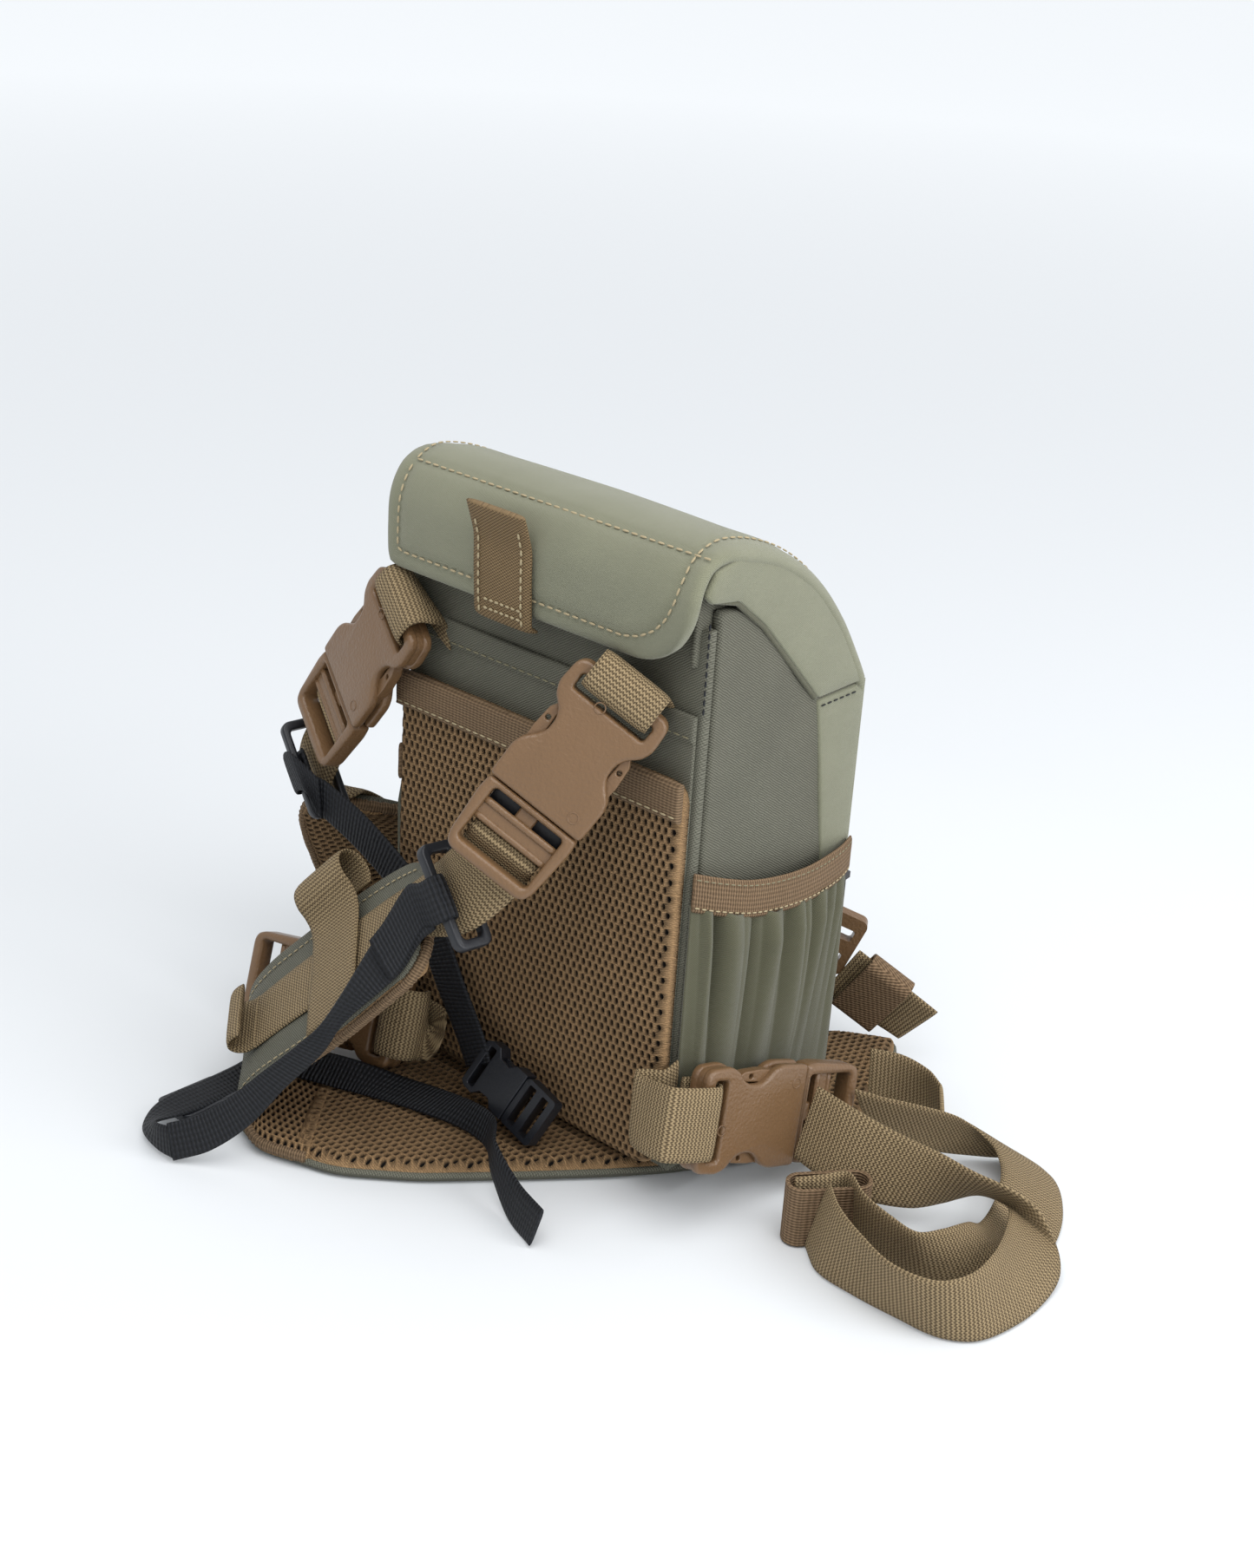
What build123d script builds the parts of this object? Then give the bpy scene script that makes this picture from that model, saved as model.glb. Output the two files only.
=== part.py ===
from build123d import *
import math
import os

# Binocular chest pack lying on its own yoke harness, millimetres.
# +Z up, floor at z = 0, -Y is the wearer's side (mesh back), +X the wearer's right.
os.makedirs("parts", exist_ok=True)

# ---------------------------------------------------------------- sizes
PACK_W = 130.0        # width over the side panels
PACK_D = 86.0         # depth over the shell
PACK_Z0 = 8.0         # underside of the shell, standing on the yoke pad
PACK_TOP = 203.0      # top of the back panel
FRONT_TOP = 165.5     # top of the front panel, where the lid is sewn on
WALL = 4.0            # padded panel thickness
LINER_T = 3.0
MESH_TOP = 153.0      # top of the spacer-mesh back pad
POCKET_HEM = 174.0    # hem of the flat back pocket
LID_T = 5.0           # padded lid thickness
LID_HALF_W = 66.5
WEB_W = 25.0          # harness webbing
WEB_T = 1.6
STERN_W = 15.0        # black sternum webbing
STERN_T = 1.4
PAD_T = 7.0           # harness padding
YOKE_T = 7.5

BK_L = 73.0           # side-release buckle, closed length
BK_W = 36.5
BK_T = 9.0
BK_FEM = 46.5         # length of the female half
PRONG_T = 4.0
GAP = 0.35

HX, HY = PACK_W / 2, PACK_D / 2


def keep(bp, label):
    bp.part.label = label
    export_step(bp.part, "parts/%s.step" % label)
    print("%-34s vol %9.1f solids %d" % (label, bp.part.volume, len(bp.part.solids())))


def unit(v):
    return Vector(*v).normalized() if not isinstance(v, Vector) else v.normalized()


def section_planes(pairs):
    """One plane per ruling (edge a, edge b): x across the band, z along it."""
    mids = [(Vector(*a) + Vector(*b)) * 0.5 for a, b in pairs]
    out = []
    for i, (a, b) in enumerate(pairs):
        x = (Vector(*b) - Vector(*a)).normalized()
        lo, hi = max(i - 1, 0), min(i + 1, len(pairs) - 1)
        t = mids[hi] - mids[lo]
        t = (t - x * t.dot(x)).normalized()
        out.append((Plane(origin=mids[i], x_dir=x, z_dir=t), (Vector(*b) - Vector(*a)).length))
    return out


def band(name, pairs, thick):
    """A strip of fabric or webbing through its rulings."""
    with BuildPart() as bp:
        for pl, w in section_planes(pairs):
            with BuildSketch(pl):
                Rectangle(w, thick)
        loft(ruled=True)
    return bp


def curve_pairs(centres, across, width):
    """Rulings of a strip from its centre points and one direction across."""
    w = unit(across) * (width / 2)
    return [((Vector(*c) - w).to_tuple(), (Vector(*c) + w).to_tuple()) for c in centres]


# ================================================================ shell
with BuildPart() as base_panel:
    with BuildSketch(Plane.XY.offset(PACK_Z0)):
        RectangleRounded(PACK_W - 0.6, PACK_D - 0.6, 6)
    extrude(amount=WALL)
keep(base_panel, "base_panel")

SZ = PACK_Z0 + WALL + 0.3       # panels start just above the base

with BuildPart() as back_panel:
    with BuildSketch(Plane.XZ.offset(HY - WALL)):
        with Locations((0, (SZ + PACK_TOP) / 2)):
            RectangleRounded(PACK_W, PACK_TOP - SZ, 3)
    extrude(amount=WALL)
    with BuildSketch(Plane.XZ.offset(HY - 3.2)):
        with Locations((-45, 199), (45, 199)):
            Circle(6.3)
    extrude(amount=2.4, mode=Mode.SUBTRACT)
keep(back_panel, "back_panel")

SIDE_PTS = [(-HY + WALL + 0.3, SZ), (HY - WALL - 0.3, SZ), (HY - WALL - 0.3, 163.0),
            (31, 168.5), (18, 184), (3, 197.5), (-14, 205.5), (-HY + WALL + 0.3, 208.5)]
for side, name in ((1, "right"), (-1, "left")):
    with BuildPart() as side_panel:
        with BuildSketch(Plane.YZ.offset(HX - WALL if side > 0 else -HX)):
            with BuildLine():
                Polyline(*SIDE_PTS, close=True)
            make_face()
        extrude(amount=WALL)
    keep(side_panel, "side_panel_" + name)

with BuildPart() as front_panel:
    with BuildSketch(Plane.XZ.offset(-HY)):
        with Locations((0, (SZ + FRONT_TOP) / 2)):
            RectangleRounded(PACK_W, FRONT_TOP - SZ, 3)
    extrude(amount=WALL)
keep(front_panel, "front_panel")

# Open-topped foam and lining insert that holds the binocular.
with BuildPart() as padded_liner:
    with BuildSketch(Plane.XY.offset(SZ)):
        RectangleRounded(PACK_W - 2 * WALL - 0.6, PACK_D - 2 * WALL - 0.6, 5)
    extrude(amount=150)
    with BuildSketch(Plane.XY.offset(SZ + LINER_T)):
        RectangleRounded(PACK_W - 2 * WALL - 0.6 - 2 * LINER_T, PACK_D - 2 * WALL - 0.6 - 2 * LINER_T, 3)
    extrude(amount=160, mode=Mode.SUBTRACT)
keep(padded_liner, "padded_liner")

# Flat document pocket on the wearer's side, then the spacer-mesh pad over it.
with BuildPart() as back_pocket_panel:
    with BuildSketch(Plane.XZ.offset(HY + 0.2)):
        with Locations((0, (SZ + POCKET_HEM) / 2)):
            RectangleRounded(PACK_W - 4, POCKET_HEM - SZ, 4)
    extrude(amount=1.4)
keep(back_pocket_panel, "back_pocket_panel")

with BuildPart() as mesh_back_pad:
    with BuildSketch(Plane.XZ.offset(HY + 1.8)):
        with BuildLine():
            Polyline((-63, MESH_TOP - 1.6), (-63, 42), (-60, 28), (-52, 17.5), (-40, 11), (57, 9.5), (63, 14), (63, MESH_TOP - 1.6), close=True)
        make_face()
    extrude(amount=5.0)
    fillet(mesh_back_pad.faces().sort_by(Axis.Y)[0].edges(), 1.8)
keep(mesh_back_pad, "mesh_back_pad")

with BuildPart() as mesh_top_binding:
    with BuildSketch(Plane.YZ.offset(-63.5)):
        with BuildLine():
            Polyline((-HY - 1.8, MESH_TOP - 1.3), (-HY - 7.1, MESH_TOP - 1.3), (-HY - 7.1, 140), (-HY - 8.3, 140),
                     (-HY - 8.3, MESH_TOP), (-HY - 1.8, MESH_TOP), close=True)
        make_face()
    extrude(amount=127)
keep(mesh_top_binding, "mesh_top_binding")

# Stretch side pockets: a gathered sheet bulging from the side panel, an elastic
# band along its mouth.
BAND_R = [(67.0, -44.0, 121.5), (71.0, -35.0, 115.5), (74.5, -22.0, 110.0), (76.0, -6.0, 107.0), (75.5, 12.0, 105.5),
          (72.0, 29.0, 106.5), (67.2, 40.5, 108.0)]
BAND_H = 13.5
for side, name in ((1, "right"), (-1, "left")):
    prs = [((side * x, y, z - BAND_H), (side * x, y, z)) for x, y, z in BAND_R]
    bp = band("b", prs, 1.6)
    keep(bp, "side_pocket_band_" + name)
    low = []
    for x, y, z in BAND_R:
        xb = 66.2 + 0.42 * (x - 66.2)
        low.append(((side * xb, y, 11.0), (side * x, y, z - BAND_H - 0.3)))
    bp = band("p", low, 1.3)
    keep(bp, "side_pocket_" + name)

# Zipped front pocket, with its slider and cord pull.
with BuildPart() as front_pocket:
    with BuildSketch(Plane.XZ.offset(-HY - 0.2)):
        with Locations((0, 54)):
            RectangleRounded(124, 80, 8)
    extrude(amount=-4.8)
    fillet(front_pocket.faces().sort_by(Axis.Y)[-1].edges(), 1.6)
    with BuildSketch(Plane.XZ.offset(-HY - 5.2)):
        with Locations((0, 86)):
            Rectangle(112, 3.0)
    extrude(amount=1.2, mode=Mode.SUBTRACT)
keep(front_pocket, "front_pocket")

PIN_Y, PIN_Z, PIN_X = 52.3, 86.0, 56.0
with BuildPart() as zipper_slider:
    with BuildSketch(Plane.XZ.offset(-HY - 5.3)):
        with Locations((PIN_X, PIN_Z)):
            RectangleRounded(9.0, 6.0, 1.8)
    extrude(amount=-1.8)
    # two ears and a pin carry the pull
    for dx in (-3.1, 3.1):
        with BuildSketch(Plane.YZ.offset(PIN_X + dx - 0.7)):
            with BuildLine():
                Polyline((50.0, PIN_Z - 1.6), (53.4, PIN_Z - 1.2), (53.4, PIN_Z + 1.2), (50.0, PIN_Z + 1.6), close=True)
            make_face()
        extrude(amount=1.4)
    with BuildSketch(Plane.YZ.offset(PIN_X - 3.4)):
        with Locations((PIN_Y, PIN_Z)):
            Circle(0.65)
    extrude(amount=6.8)
keep(zipper_slider, "zipper_slider")

# Pull: a moulded cord tab hung on the slider's pin.
with BuildPart() as zipper_pull:
    with BuildSketch(Plane.XZ.offset(-(PIN_Y - 0.8))):
        with Locations((PIN_X, PIN_Z - 12.5)):
            SlotOverall(22.0, 5.0, rotation=90)
        with Locations((PIN_X, PIN_Z - 3.0)):
            Rectangle(3.0, 6.0)
    extrude(amount=-1.6)
    with BuildSketch(Plane.YZ.offset(PIN_X - 1.8)):
        with Locations((PIN_Y, PIN_Z)):
            Circle(1.5)
    extrude(amount=3.6)
    with BuildSketch(Plane.YZ.offset(PIN_X - 1.8)):
        with Locations((PIN_Y, PIN_Z)):
            Circle(0.95)
    extrude(amount=3.6, mode=Mode.SUBTRACT)
keep(zipper_pull, "zipper_pull")

# ================================================================ lid
LID_OUT = [(-53.4, 189.9), (-54.4, 204.0), (-53.4, 217.0), (-47.0, 226.5), (-35.0, 230.0), (-12.0, 223.5), (8.0, 211.0),
           (25.0, 193.0), (36.2, 176.0), (41.6, 166.6)]
LID_IN = [(36.6, 166.6), (32.3, 173.6), (21.3, 189.5), (5.1, 206.8), (-13.8, 218.6), (-34.6, 224.9), (-43.9, 222.3),
          (-48.3, 215.4), (-49.2, 204.3), (-49.0, 190.6)]
with BuildPart() as lid_pad:
    with BuildSketch(Plane.YZ.offset(-LID_HALF_W)):
        with BuildLine():
            Polyline(*(LID_OUT + LID_IN), close=True)
        make_face()
    extrude(amount=2 * LID_HALF_W)
    # rounded lower corners of the back flap
    for s in (-1, 1):
        with BuildSketch(Plane.XZ.offset(43.0)):
            with Locations((s * (LID_HALF_W - 5.5), 193.5)):
                Rectangle(12.0, 13.0)
            with Locations((s * (LID_HALF_W - 12.0), 200.5)):
                Circle(12.0, mode=Mode.SUBTRACT)
        extrude(amount=12.0, mode=Mode.SUBTRACT)
    with BuildSketch(Plane.XZ.offset(49.6)):
        with Locations((-45, 204), (45, 204)):
            Circle(6.3)
    extrude(amount=2.4, mode=Mode.SUBTRACT)
keep(lid_pad, "lid_pad")

EAR = [(-44.0, 214.6), (-33.0, 211.6), (-19.0, 200.5), (-4.0, 185.0), (13.0, 167.2), (35.4, 167.2), (32.0, 173.0), (21.0, 188.9),
       (4.8, 206.2), (-14.0, 217.9), (-34.6, 224.2), (-43.2, 221.7), (-46.6, 216.0)]
with BuildPart() as lid_side_gussets:
    for s in (-1, 1):
        with BuildSketch(Plane.YZ.offset(65.2 if s > 0 else -66.4)):
            with BuildLine():
                Polyline(*EAR, close=True)
            make_face()
        extrude(amount=1.2)
keep(lid_side_gussets, "lid_side_gussets")

TAB_C = [(-10.0, -60.9, 226.0), (-10.0, -58.9, 220.5), (-10.0, -56.4, 214.0), (-10.0, -56.0, 204.0), (-10.0, -55.3, 193.0),
         (-10.0, -54.6, 187.2), (-10.0, -52.0, 186.2)]
lid_pull_tab = band("t", curve_pairs(TAB_C, (1, 0, 0), WEB_W), WEB_T)
keep(lid_pull_tab, "lid_pull_tab")

for nm, yy, zz in (("body_magnets", HY - 3.0, 199.0), ("lid_magnets", 49.8, 204.0)):
    with BuildPart() as mag:
        with BuildSketch(Plane.XZ.offset(yy)):
            with Locations((-45, zz), (45, zz)):
                Circle(6.0)
        extrude(amount=2.0)
    keep(mag, nm)


# ================================================================ side-release buckles
def buckle_plane(e, m, n):
    """Frame of a buckle: x from the female end e to the male end m, z out of its face."""
    u = (Vector(*m) - Vector(*e)).normalized()
    nn = Vector(*n)
    nn = (nn - u * nn.dot(u)).normalized()
    return Plane(origin=Vector(*e), x_dir=u, z_dir=nn)


def rise(pl, d):
    """The buckle frame moved out along its own normal."""
    return Plane(origin=pl.origin + pl.z_dir * d, x_dir=pl.x_dir, z_dir=pl.z_dir)


HW = BK_W / 2
FEM_HALF = [(0.0, 15.2), (2.0, 17.6), (10.5, HW), (14.5, 16.6), (17.5, 13.0), (21.0, 11.6), (25.5, 11.8), (28.5, 14.0),
            (31.0, 16.6), (34.5, 17.9), (BK_FEM, 17.6)]


def female_half(pl):
    with BuildPart() as bp:
        with BuildSketch(rise(pl, -BK_T / 2)):
            with BuildLine():
                Polyline(*(FEM_HALF + [(x, -y) for x, y in reversed(FEM_HALF)]), close=True)
            make_face()
        extrude(amount=BK_T)
        # softened rim on both faces
        for f in (bp.faces().filter_by(lambda f: abs(f.normal_at().dot(pl.z_dir)) > 0.99 and f.area > 900)):
            chamfer(f.outer_wire().edges(), 0.9)
        # webbing slot
        with BuildSketch(rise(pl, -BK_T)):
            with Locations((7.0, 0)):
                RectangleRounded(5.6, 27.4, 1.2)
        extrude(amount=2 * BK_T, mode=Mode.SUBTRACT)
        # socket for the tongue and the prongs, open at the male end
        with BuildSketch(rise(pl, -PRONG_T / 2 - 0.4)):
            with Locations(((BK_FEM + 13.2) / 2 + 1, 0)):
                Rectangle(BK_FEM - 13.2 + 2, 2 * 16.35)
        extrude(amount=PRONG_T + 0.8, mode=Mode.SUBTRACT)
    return bp


def male_half(pl):
    x0 = BK_FEM + GAP
    with BuildPart() as bp:
        # end frame with its two webbing windows
        with BuildSketch(rise(pl, -3.6)):
            with BuildLine():
                Polyline((x0, 17.2), (x0 + 5, 17.6), (BK_L - 4.5, 16.4), (BK_L - 1.2, 15.2), (BK_L, 12.8), (BK_L, -12.8),
                         (BK_L - 1.2, -15.2), (BK_L - 4.5, -16.4), (x0 + 5, -17.6), (x0, -17.2), close=True)
            make_face()
            with Locations((x0 + 4.4, 0)):
                RectangleRounded(3.6, 26.6, 0.8, mode=Mode.SUBTRACT)
            with Locations((x0 + 17.4, 0)):
                RectangleRounded(8.6, 27.2, 0.8, mode=Mode.SUBTRACT)
        extrude(amount=7.6)
        # the crossbar stands lower than the frame so the webbing can pass under it
        with BuildSketch(rise(pl, -4.0)):
            with Locations((x0 + 9.6, 0)):
                Rectangle(7.4, 27.2)
        extrude(amount=3.0, mode=Mode.SUBTRACT)
        with BuildSketch(rise(pl, -4.0)):
            with Locations((BK_L - 2.1, 0)):
                Rectangle(6.0, 26.6)
        extrude(amount=2.4, mode=Mode.SUBTRACT)
        # centre tongue
        with BuildSketch(rise(pl, -1.8)):
            with Locations(((x0 + 24.0) / 2 + 0.5, 0)):
                Rectangle(x0 - 24.0 + 1.0, 7.0)
        extrude(amount=3.6)
        # prong roots
        with BuildSketch(rise(pl, -1.8)):
            with Locations((x0 - 1.1, 12.2), (x0 - 1.1, -12.2)):
                Rectangle(2.4, 4.4)
        extrude(amount=3.6)
    return bp


PRONG = [(BK_FEM - 2.4, 10.2), (BK_FEM - 2.4, 14.0), (34.0, 15.7), (26.0, 16.2), (19.0, 15.6), (15.6, 13.6), (15.2, 11.8),
         (19.0, 12.2), (25.0, 12.0), (33.0, 11.2)]


def prong(pl, s):
    with BuildPart() as bp:
        with BuildSketch(rise(pl, -PRONG_T / 2)):
            with BuildLine():
                Polyline(*[(x, s * y) for x, y in PRONG], close=True)
            make_face()
            with Locations((22.0, s * 14.0)):
                Circle(0.9, mode=Mode.SUBTRACT)
        extrude(amount=PRONG_T)
    return bp


BUCKLES = {
    "shoulder_buckle_right": ((44.2, -55.5, 181.0), (22.6, -93.7, 122.7), (0.54, -0.78, 0.31)),
    "shoulder_buckle_left": ((-56.0, -53.0, 179.0), (-97.0, -56.5, 118.7), (-0.246, -0.944, 0.218)),
    "waist_buckle_right": ((79.0, -50.0, 38.8), (91.4, 18.5, 19.6), (0.979, -0.118, 0.17)),
    "waist_buckle_left": ((-44.0, -62.3, 27.0), (-112.0, -68.3, 20.0), (0.0, -0.93, 0.36)),
}
PL = {}
for nm, (e, m, n) in BUCKLES.items():
    pl = PL[nm] = buckle_plane(e, m, n)
    keep(female_half(pl), nm + "_female")
    keep(male_half(pl), nm + "_male")
    keep(prong(pl, 1), nm + "_prong_a")
    keep(prong(pl, -1), nm + "_prong_b")
    print("FRAME", nm, "u", pl.x_dir, "v", pl.y_dir, "n", pl.z_dir)


def local(pl, pts):
    """Points given in a buckle frame."""
    return [(pl.origin + pl.x_dir * x + pl.y_dir * y + pl.z_dir * z) for x, y, z in pts]


# Anchor webbing: sewn to the shell, folded round the end bar of each female half.
def anchor(pl, loop, tail):
    prs = [(a.to_tuple(), b.to_tuple()) for a, b in zip(local(pl, [(x, -12.5, z) for x, z in loop]),
                                                        local(pl, [(x, 12.5, z) for x, z in loop]))]
    return band("a", tail + prs, WEB_T)


LOOP = [(-5.2, -1.5), (-5.4, 2.4), (-3.4, 5.4), (0.5, 6.2), (4.6, 5.9), (6.8, 3.4), (7.0, -1.0), (6.2, -4.6), (3.4, -6.2), (1.2, -6.2)]
keep(anchor(PL["shoulder_buckle_right"], LOOP, [((20.4, -46.2, 178.0), (41.6, -46.2, 164.8)), ((24.8, -46.6, 182.4), (46.0, -46.6, 169.9)), ((33.3, -50.6, 185.6), (52.6, -43.9, 173.6))]),
     "shoulder_anchor_webbing_right")
keep(anchor(PL["shoulder_buckle_left"], [(x, z) for x, z in LOOP][:-1], [((-62.5, -45.8, 179.5), (-42.5, -45.8, 164.5)), ((-64.5, -45.9, 187.4), (-44.5, -45.9, 172.4))]),
     "shoulder_anchor_webbing_left")
WLOOP = [(-14.0, 2.6), (-10.0, 4.6), (-4.2, 5.8), (0.5, 6.2), (4.6, 5.9), (6.8, 3.4), (7.0, -1.0), (6.2, -4.6), (3.0, -6.3), (-1.0, -6.6)]


def anchor_pairs(pl, loop, tail):
    return tail + [(a.to_tuple(), b.to_tuple()) for a, b in zip(local(pl, [(x, -12.5, z) for x, z in loop]),
                                                                local(pl, [(x, 12.5, z) for x, z in loop]))]


with BuildPart() as waist_anchor_webbing:
    for prs in (anchor_pairs(PL["waist_buckle_right"], WLOOP, [((67.2, -45.5, 29.0), (67.2, -45.3, 54.0)), ((66.6, -51.5, 27.5), (66.5, -51.0, 52.4)),
                                                               ((63.4, -55.2, 27.5), (63.0, -54.4, 52.6)), ((61.8, -60.0, 28.0), (60.6, -58.0, 52.8)),
                                                               ((66.0, -63.4, 28.0), (64.9, -59.0, 52.4))]),
                anchor_pairs(PL["waist_buckle_left"], [(-6.0, -4.2), (-6.6, 1.0), (-4.2, 4.6), (0.5, 6.2), (4.6, 5.9), (6.8, 3.4), (7.0, -1.0), (6.2, -4.6)],
                             [((-61.0, -51.6, 15.0), (-44.0, -51.6, 33.0)), ((-49.5, -52.2, 13.5), (-33.0, -52.2, 32.0))])):
        for pl, w in section_planes(prs):
            with BuildSketch(pl):
                Rectangle(w, WEB_T)
        loft(ruled=True)
keep(waist_anchor_webbing, "waist_anchor_webbing")

# ================================================================ yoke and shoulder pads
YOKE = [(-33.0, -122.5), (-18.0, -118.0), (4.0, -100.0), (27.0, -74.0), (46.0, -51.5), (60.0, -33.0), (74.0, -6.0), (81.5, 18.0),
        (87.0, 34.0), (78.0, 60.0), (64.0, 91.0), (45.0, 80.0), (20.0, 48.0), (-15.0, 30.0), (-55.0, 34.0), (-78.0, 34.0),
        (-79.0, 31.0), (-99.0, -10.5), (-84.0, -22.0), (-66.0, -38.0), (-56.0, -60.0), (-66.0, -76.5)]
with BuildPart() as yoke_pad:
    with BuildSketch(Plane.XY):
        with BuildLine():
            Polyline(*YOKE, close=True)
        make_face()
    extrude(amount=YOKE_T)
keep(yoke_pad, "yoke_pad")

# near (right) arm: comes down from the buckle, folds over on the floor into the yoke
PAD_R = [((6.0, -102.5, 84.5), (-21.0, -70.5, 103.5)), ((-5.0, -107.0, 71.0), (-39.0, -69.0, 90.0)), ((-20.0, -112.0, 53.0), (-58.0, -73.0, 72.0)),
         ((-36.0, -117.5, 36.0), (-76.0, -77.5, 53.0)), ((-50.0, -121.5, 21.5), (-91.0, -81.0, 36.0)),
         ((-56.8, -122.8, 11.5), (-98.0, -82.0, 23.0)), ((-55.5, -124.0, 5.5), (-94.5, -79.0, 11.0)), ((-46.0, -126.5, 4.0), (-84.0, -77.0, 5.5)),
         ((-34.0, -123.5, 4.0), (-71.5, -77.3, 4.0))]
keep(band("pr", PAD_R, PAD_T), "shoulder_pad_right")

# far (left) arm: hangs from its buckle beside the shell and folds onto the floor
PAD_L = [((-109.0, -53.0, 89.0), (-87.0, -42.0, 91.0)), ((-112.0, -48.0, 73.0), (-80.0, -22.0, 82.0)), ((-114.0, -38.0, 50.0), (-80.0, 0.0, 60.0)),
         ((-118.0, -30.0, 28.0), (-83.0, 10.0, 37.0)), ((-119.5, -23.0, 12.5), (-88.0, 17.0, 17.5)), ((-114.5, -15.5, 4.8), (-90.0, 26.0, 6.4)),
         ((-104.0, -9.6, 3.9), (-84.0, 31.5, 3.9))]
keep(band("pl", PAD_L, PAD_T), "shoulder_pad_left")


def offset_pairs(pairs, d, width, shift=0.0):
    """Rulings of a strap lying d off a pad's middle surface."""
    out = []
    for (pl, w) in section_planes(pairs):
        c = pl.origin + pl.y_dir * d + pl.x_dir * shift
        out.append(((c - pl.x_dir * (width / 2)).to_tuple(), (c + pl.x_dir * (width / 2)).to_tuple()))
    return out


def out_sign(pairs, ref):
    """+1 when the section's own normal points to the reference direction."""
    pl = section_planes(pairs)[1][0]
    return 1.0 if pl.y_dir.dot(Vector(*ref)) > 0 else -1.0


SR = out_sign(PAD_R, (0.3, -0.7, 0.6))
SL = out_sign(PAD_L, (-0.5, 0.8, 0.2))


# webbing through the male frame: under the crossbar, up in the lower window, under the end bar
STRAP_PATH = ((54.2, -4.0), (58.6, -3.7), (61.6, -1.0), (63.6, -0.2), (65.8, -2.0), (68.6, -4.4), (74.0, -5.6))


def strap_from_buckle(pl):
    return [(a.to_tuple(), b.to_tuple()) for a, b in
            zip(local(pl, [(x, 12.5, z) for x, z in STRAP_PATH]),
                local(pl, [(x, -12.5, z) for x, z in STRAP_PATH]))]


def match(first, second):
    """Flip the first strip's rulings if its edges run opposite to the second's."""
    a0, b0 = first[-1]
    a1, b1 = second[0]
    d = (Vector(*b0) - Vector(*a0)).dot(Vector(*b1) - Vector(*a1))
    return first if d > 0 else [(b, a) for a, b in first]


# the black rings sit on the webbing between the male half and the pad
RING_R = ((0.05, -90.5, 117.1), (16.55, -93.5, 98.9))
RING_L = ((-106.2, -53.4, 112.8), (-91.8, -56.6, 96.4))
tail_r = offset_pairs(PAD_R, SR * (PAD_T / 2 + 1.2), WEB_W)[0:5]
web_r = match(match(strap_from_buckle(PL["shoulder_buckle_right"]), [RING_R]) + [RING_R], tail_r) + tail_r
keep(band("wr", web_r, WEB_T), "shoulder_webbing_right")
tail_l = offset_pairs(PAD_L, SL * (PAD_T / 2 + 1.2), WEB_W)[0:4]
head_l = match(match(strap_from_buckle(PL["shoulder_buckle_left"]), [RING_L]) + [RING_L], tail_l)
half_l = tuple(((Vector(*p) + Vector(*q)) * 0.5).to_tuple() for p, q in zip(head_l[-1], tail_l[0]))
web_l = head_l + [half_l] + tail_l
wl = band("wl", web_l, WEB_T)
keep(wl, "shoulder_webbing_left")
for k, p in enumerate(web_r):
    print("WEBR", k, [round(q, 1) for q in p[0]], [round(q, 1) for q in p[1]])
for k, p in enumerate(web_l):
    print("WEBL", k, [round(q, 1) for q in p[0]], [round(q, 1) for q in p[1]])

# Cross strap sewn round the right pad, its spare standing up as a loop over the
# pad's inner edge.
pls = section_planes(PAD_R)
CB = pls[2][0]
cbn = CB.y_dir * SR
cbx = CB.x_dir
along = CB.z_dir
o = CB.origin


def cb(x, n):
    c = o + cbx * x + cbn * n
    return ((c - along * 12.5).to_tuple(), (c + along * 12.5).to_tuple())


CROSS_MAIN = [cb(-26.0, 6.6), cb(-12.0, 6.8), cb(4.0, 6.9), cb(18.0, 7.0), cb(26.0, 8.2), cb(32.0, 12.0), cb(33.0, 17.0), cb(28.5, 20.5)]
keep(band("cb", CROSS_MAIN, WEB_T), "cross_strap_right")

# ================================================================ waist straps
S1 = [((93.3, -11.0, 13.5), (93.6, -1.5, 37.5)), ((109.3, -12.8, 12.0), (110.8, -1.7, 36.0)), ((121.0, -10.0, 10.0), (127.0, 0.5, 33.5)),
      ((134.2, -0.2, 8.5), (141.2, 3.5, 31.5)), ((141.5, 9.0, 10.0), (153.0, 4.5, 30.0)), ((147.6, 16.0, 13.0), (165.0, 9.5, 26.5)),
      ((154.5, 16.5, 15.0), (173.5, 14.5, 20.0)), ((163.0, 13.0, 17.0), (181.5, 16.0, 8.5)), ((168.5, 4.5, 19.0), (187.0, 9.5, 3.0)),
      ((174.0, -7.5, 20.5), (189.5, -5.5, 0.9)), ((178.0, -20.0, 22.0), (189.0, -21.0, 0.9)), ((179.5, -34.0, 23.0), (185.0, -34.5, 0.9)),
      ((174.5, -45.0, 23.4), (175.5, -41.5, 0.9)), ((160.0, -48.5, 23.8), (160.0, -43.0, 0.9)), ((144.5, -44.5, 25.2), (143.5, -43.5, 0.9)),
      ((131.0, -37.5, 25.2), (128.5, -42.0, 0.9)), ((121.0, -29.0, 25.0), (117.5, -34.0, 0.9))]
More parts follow.
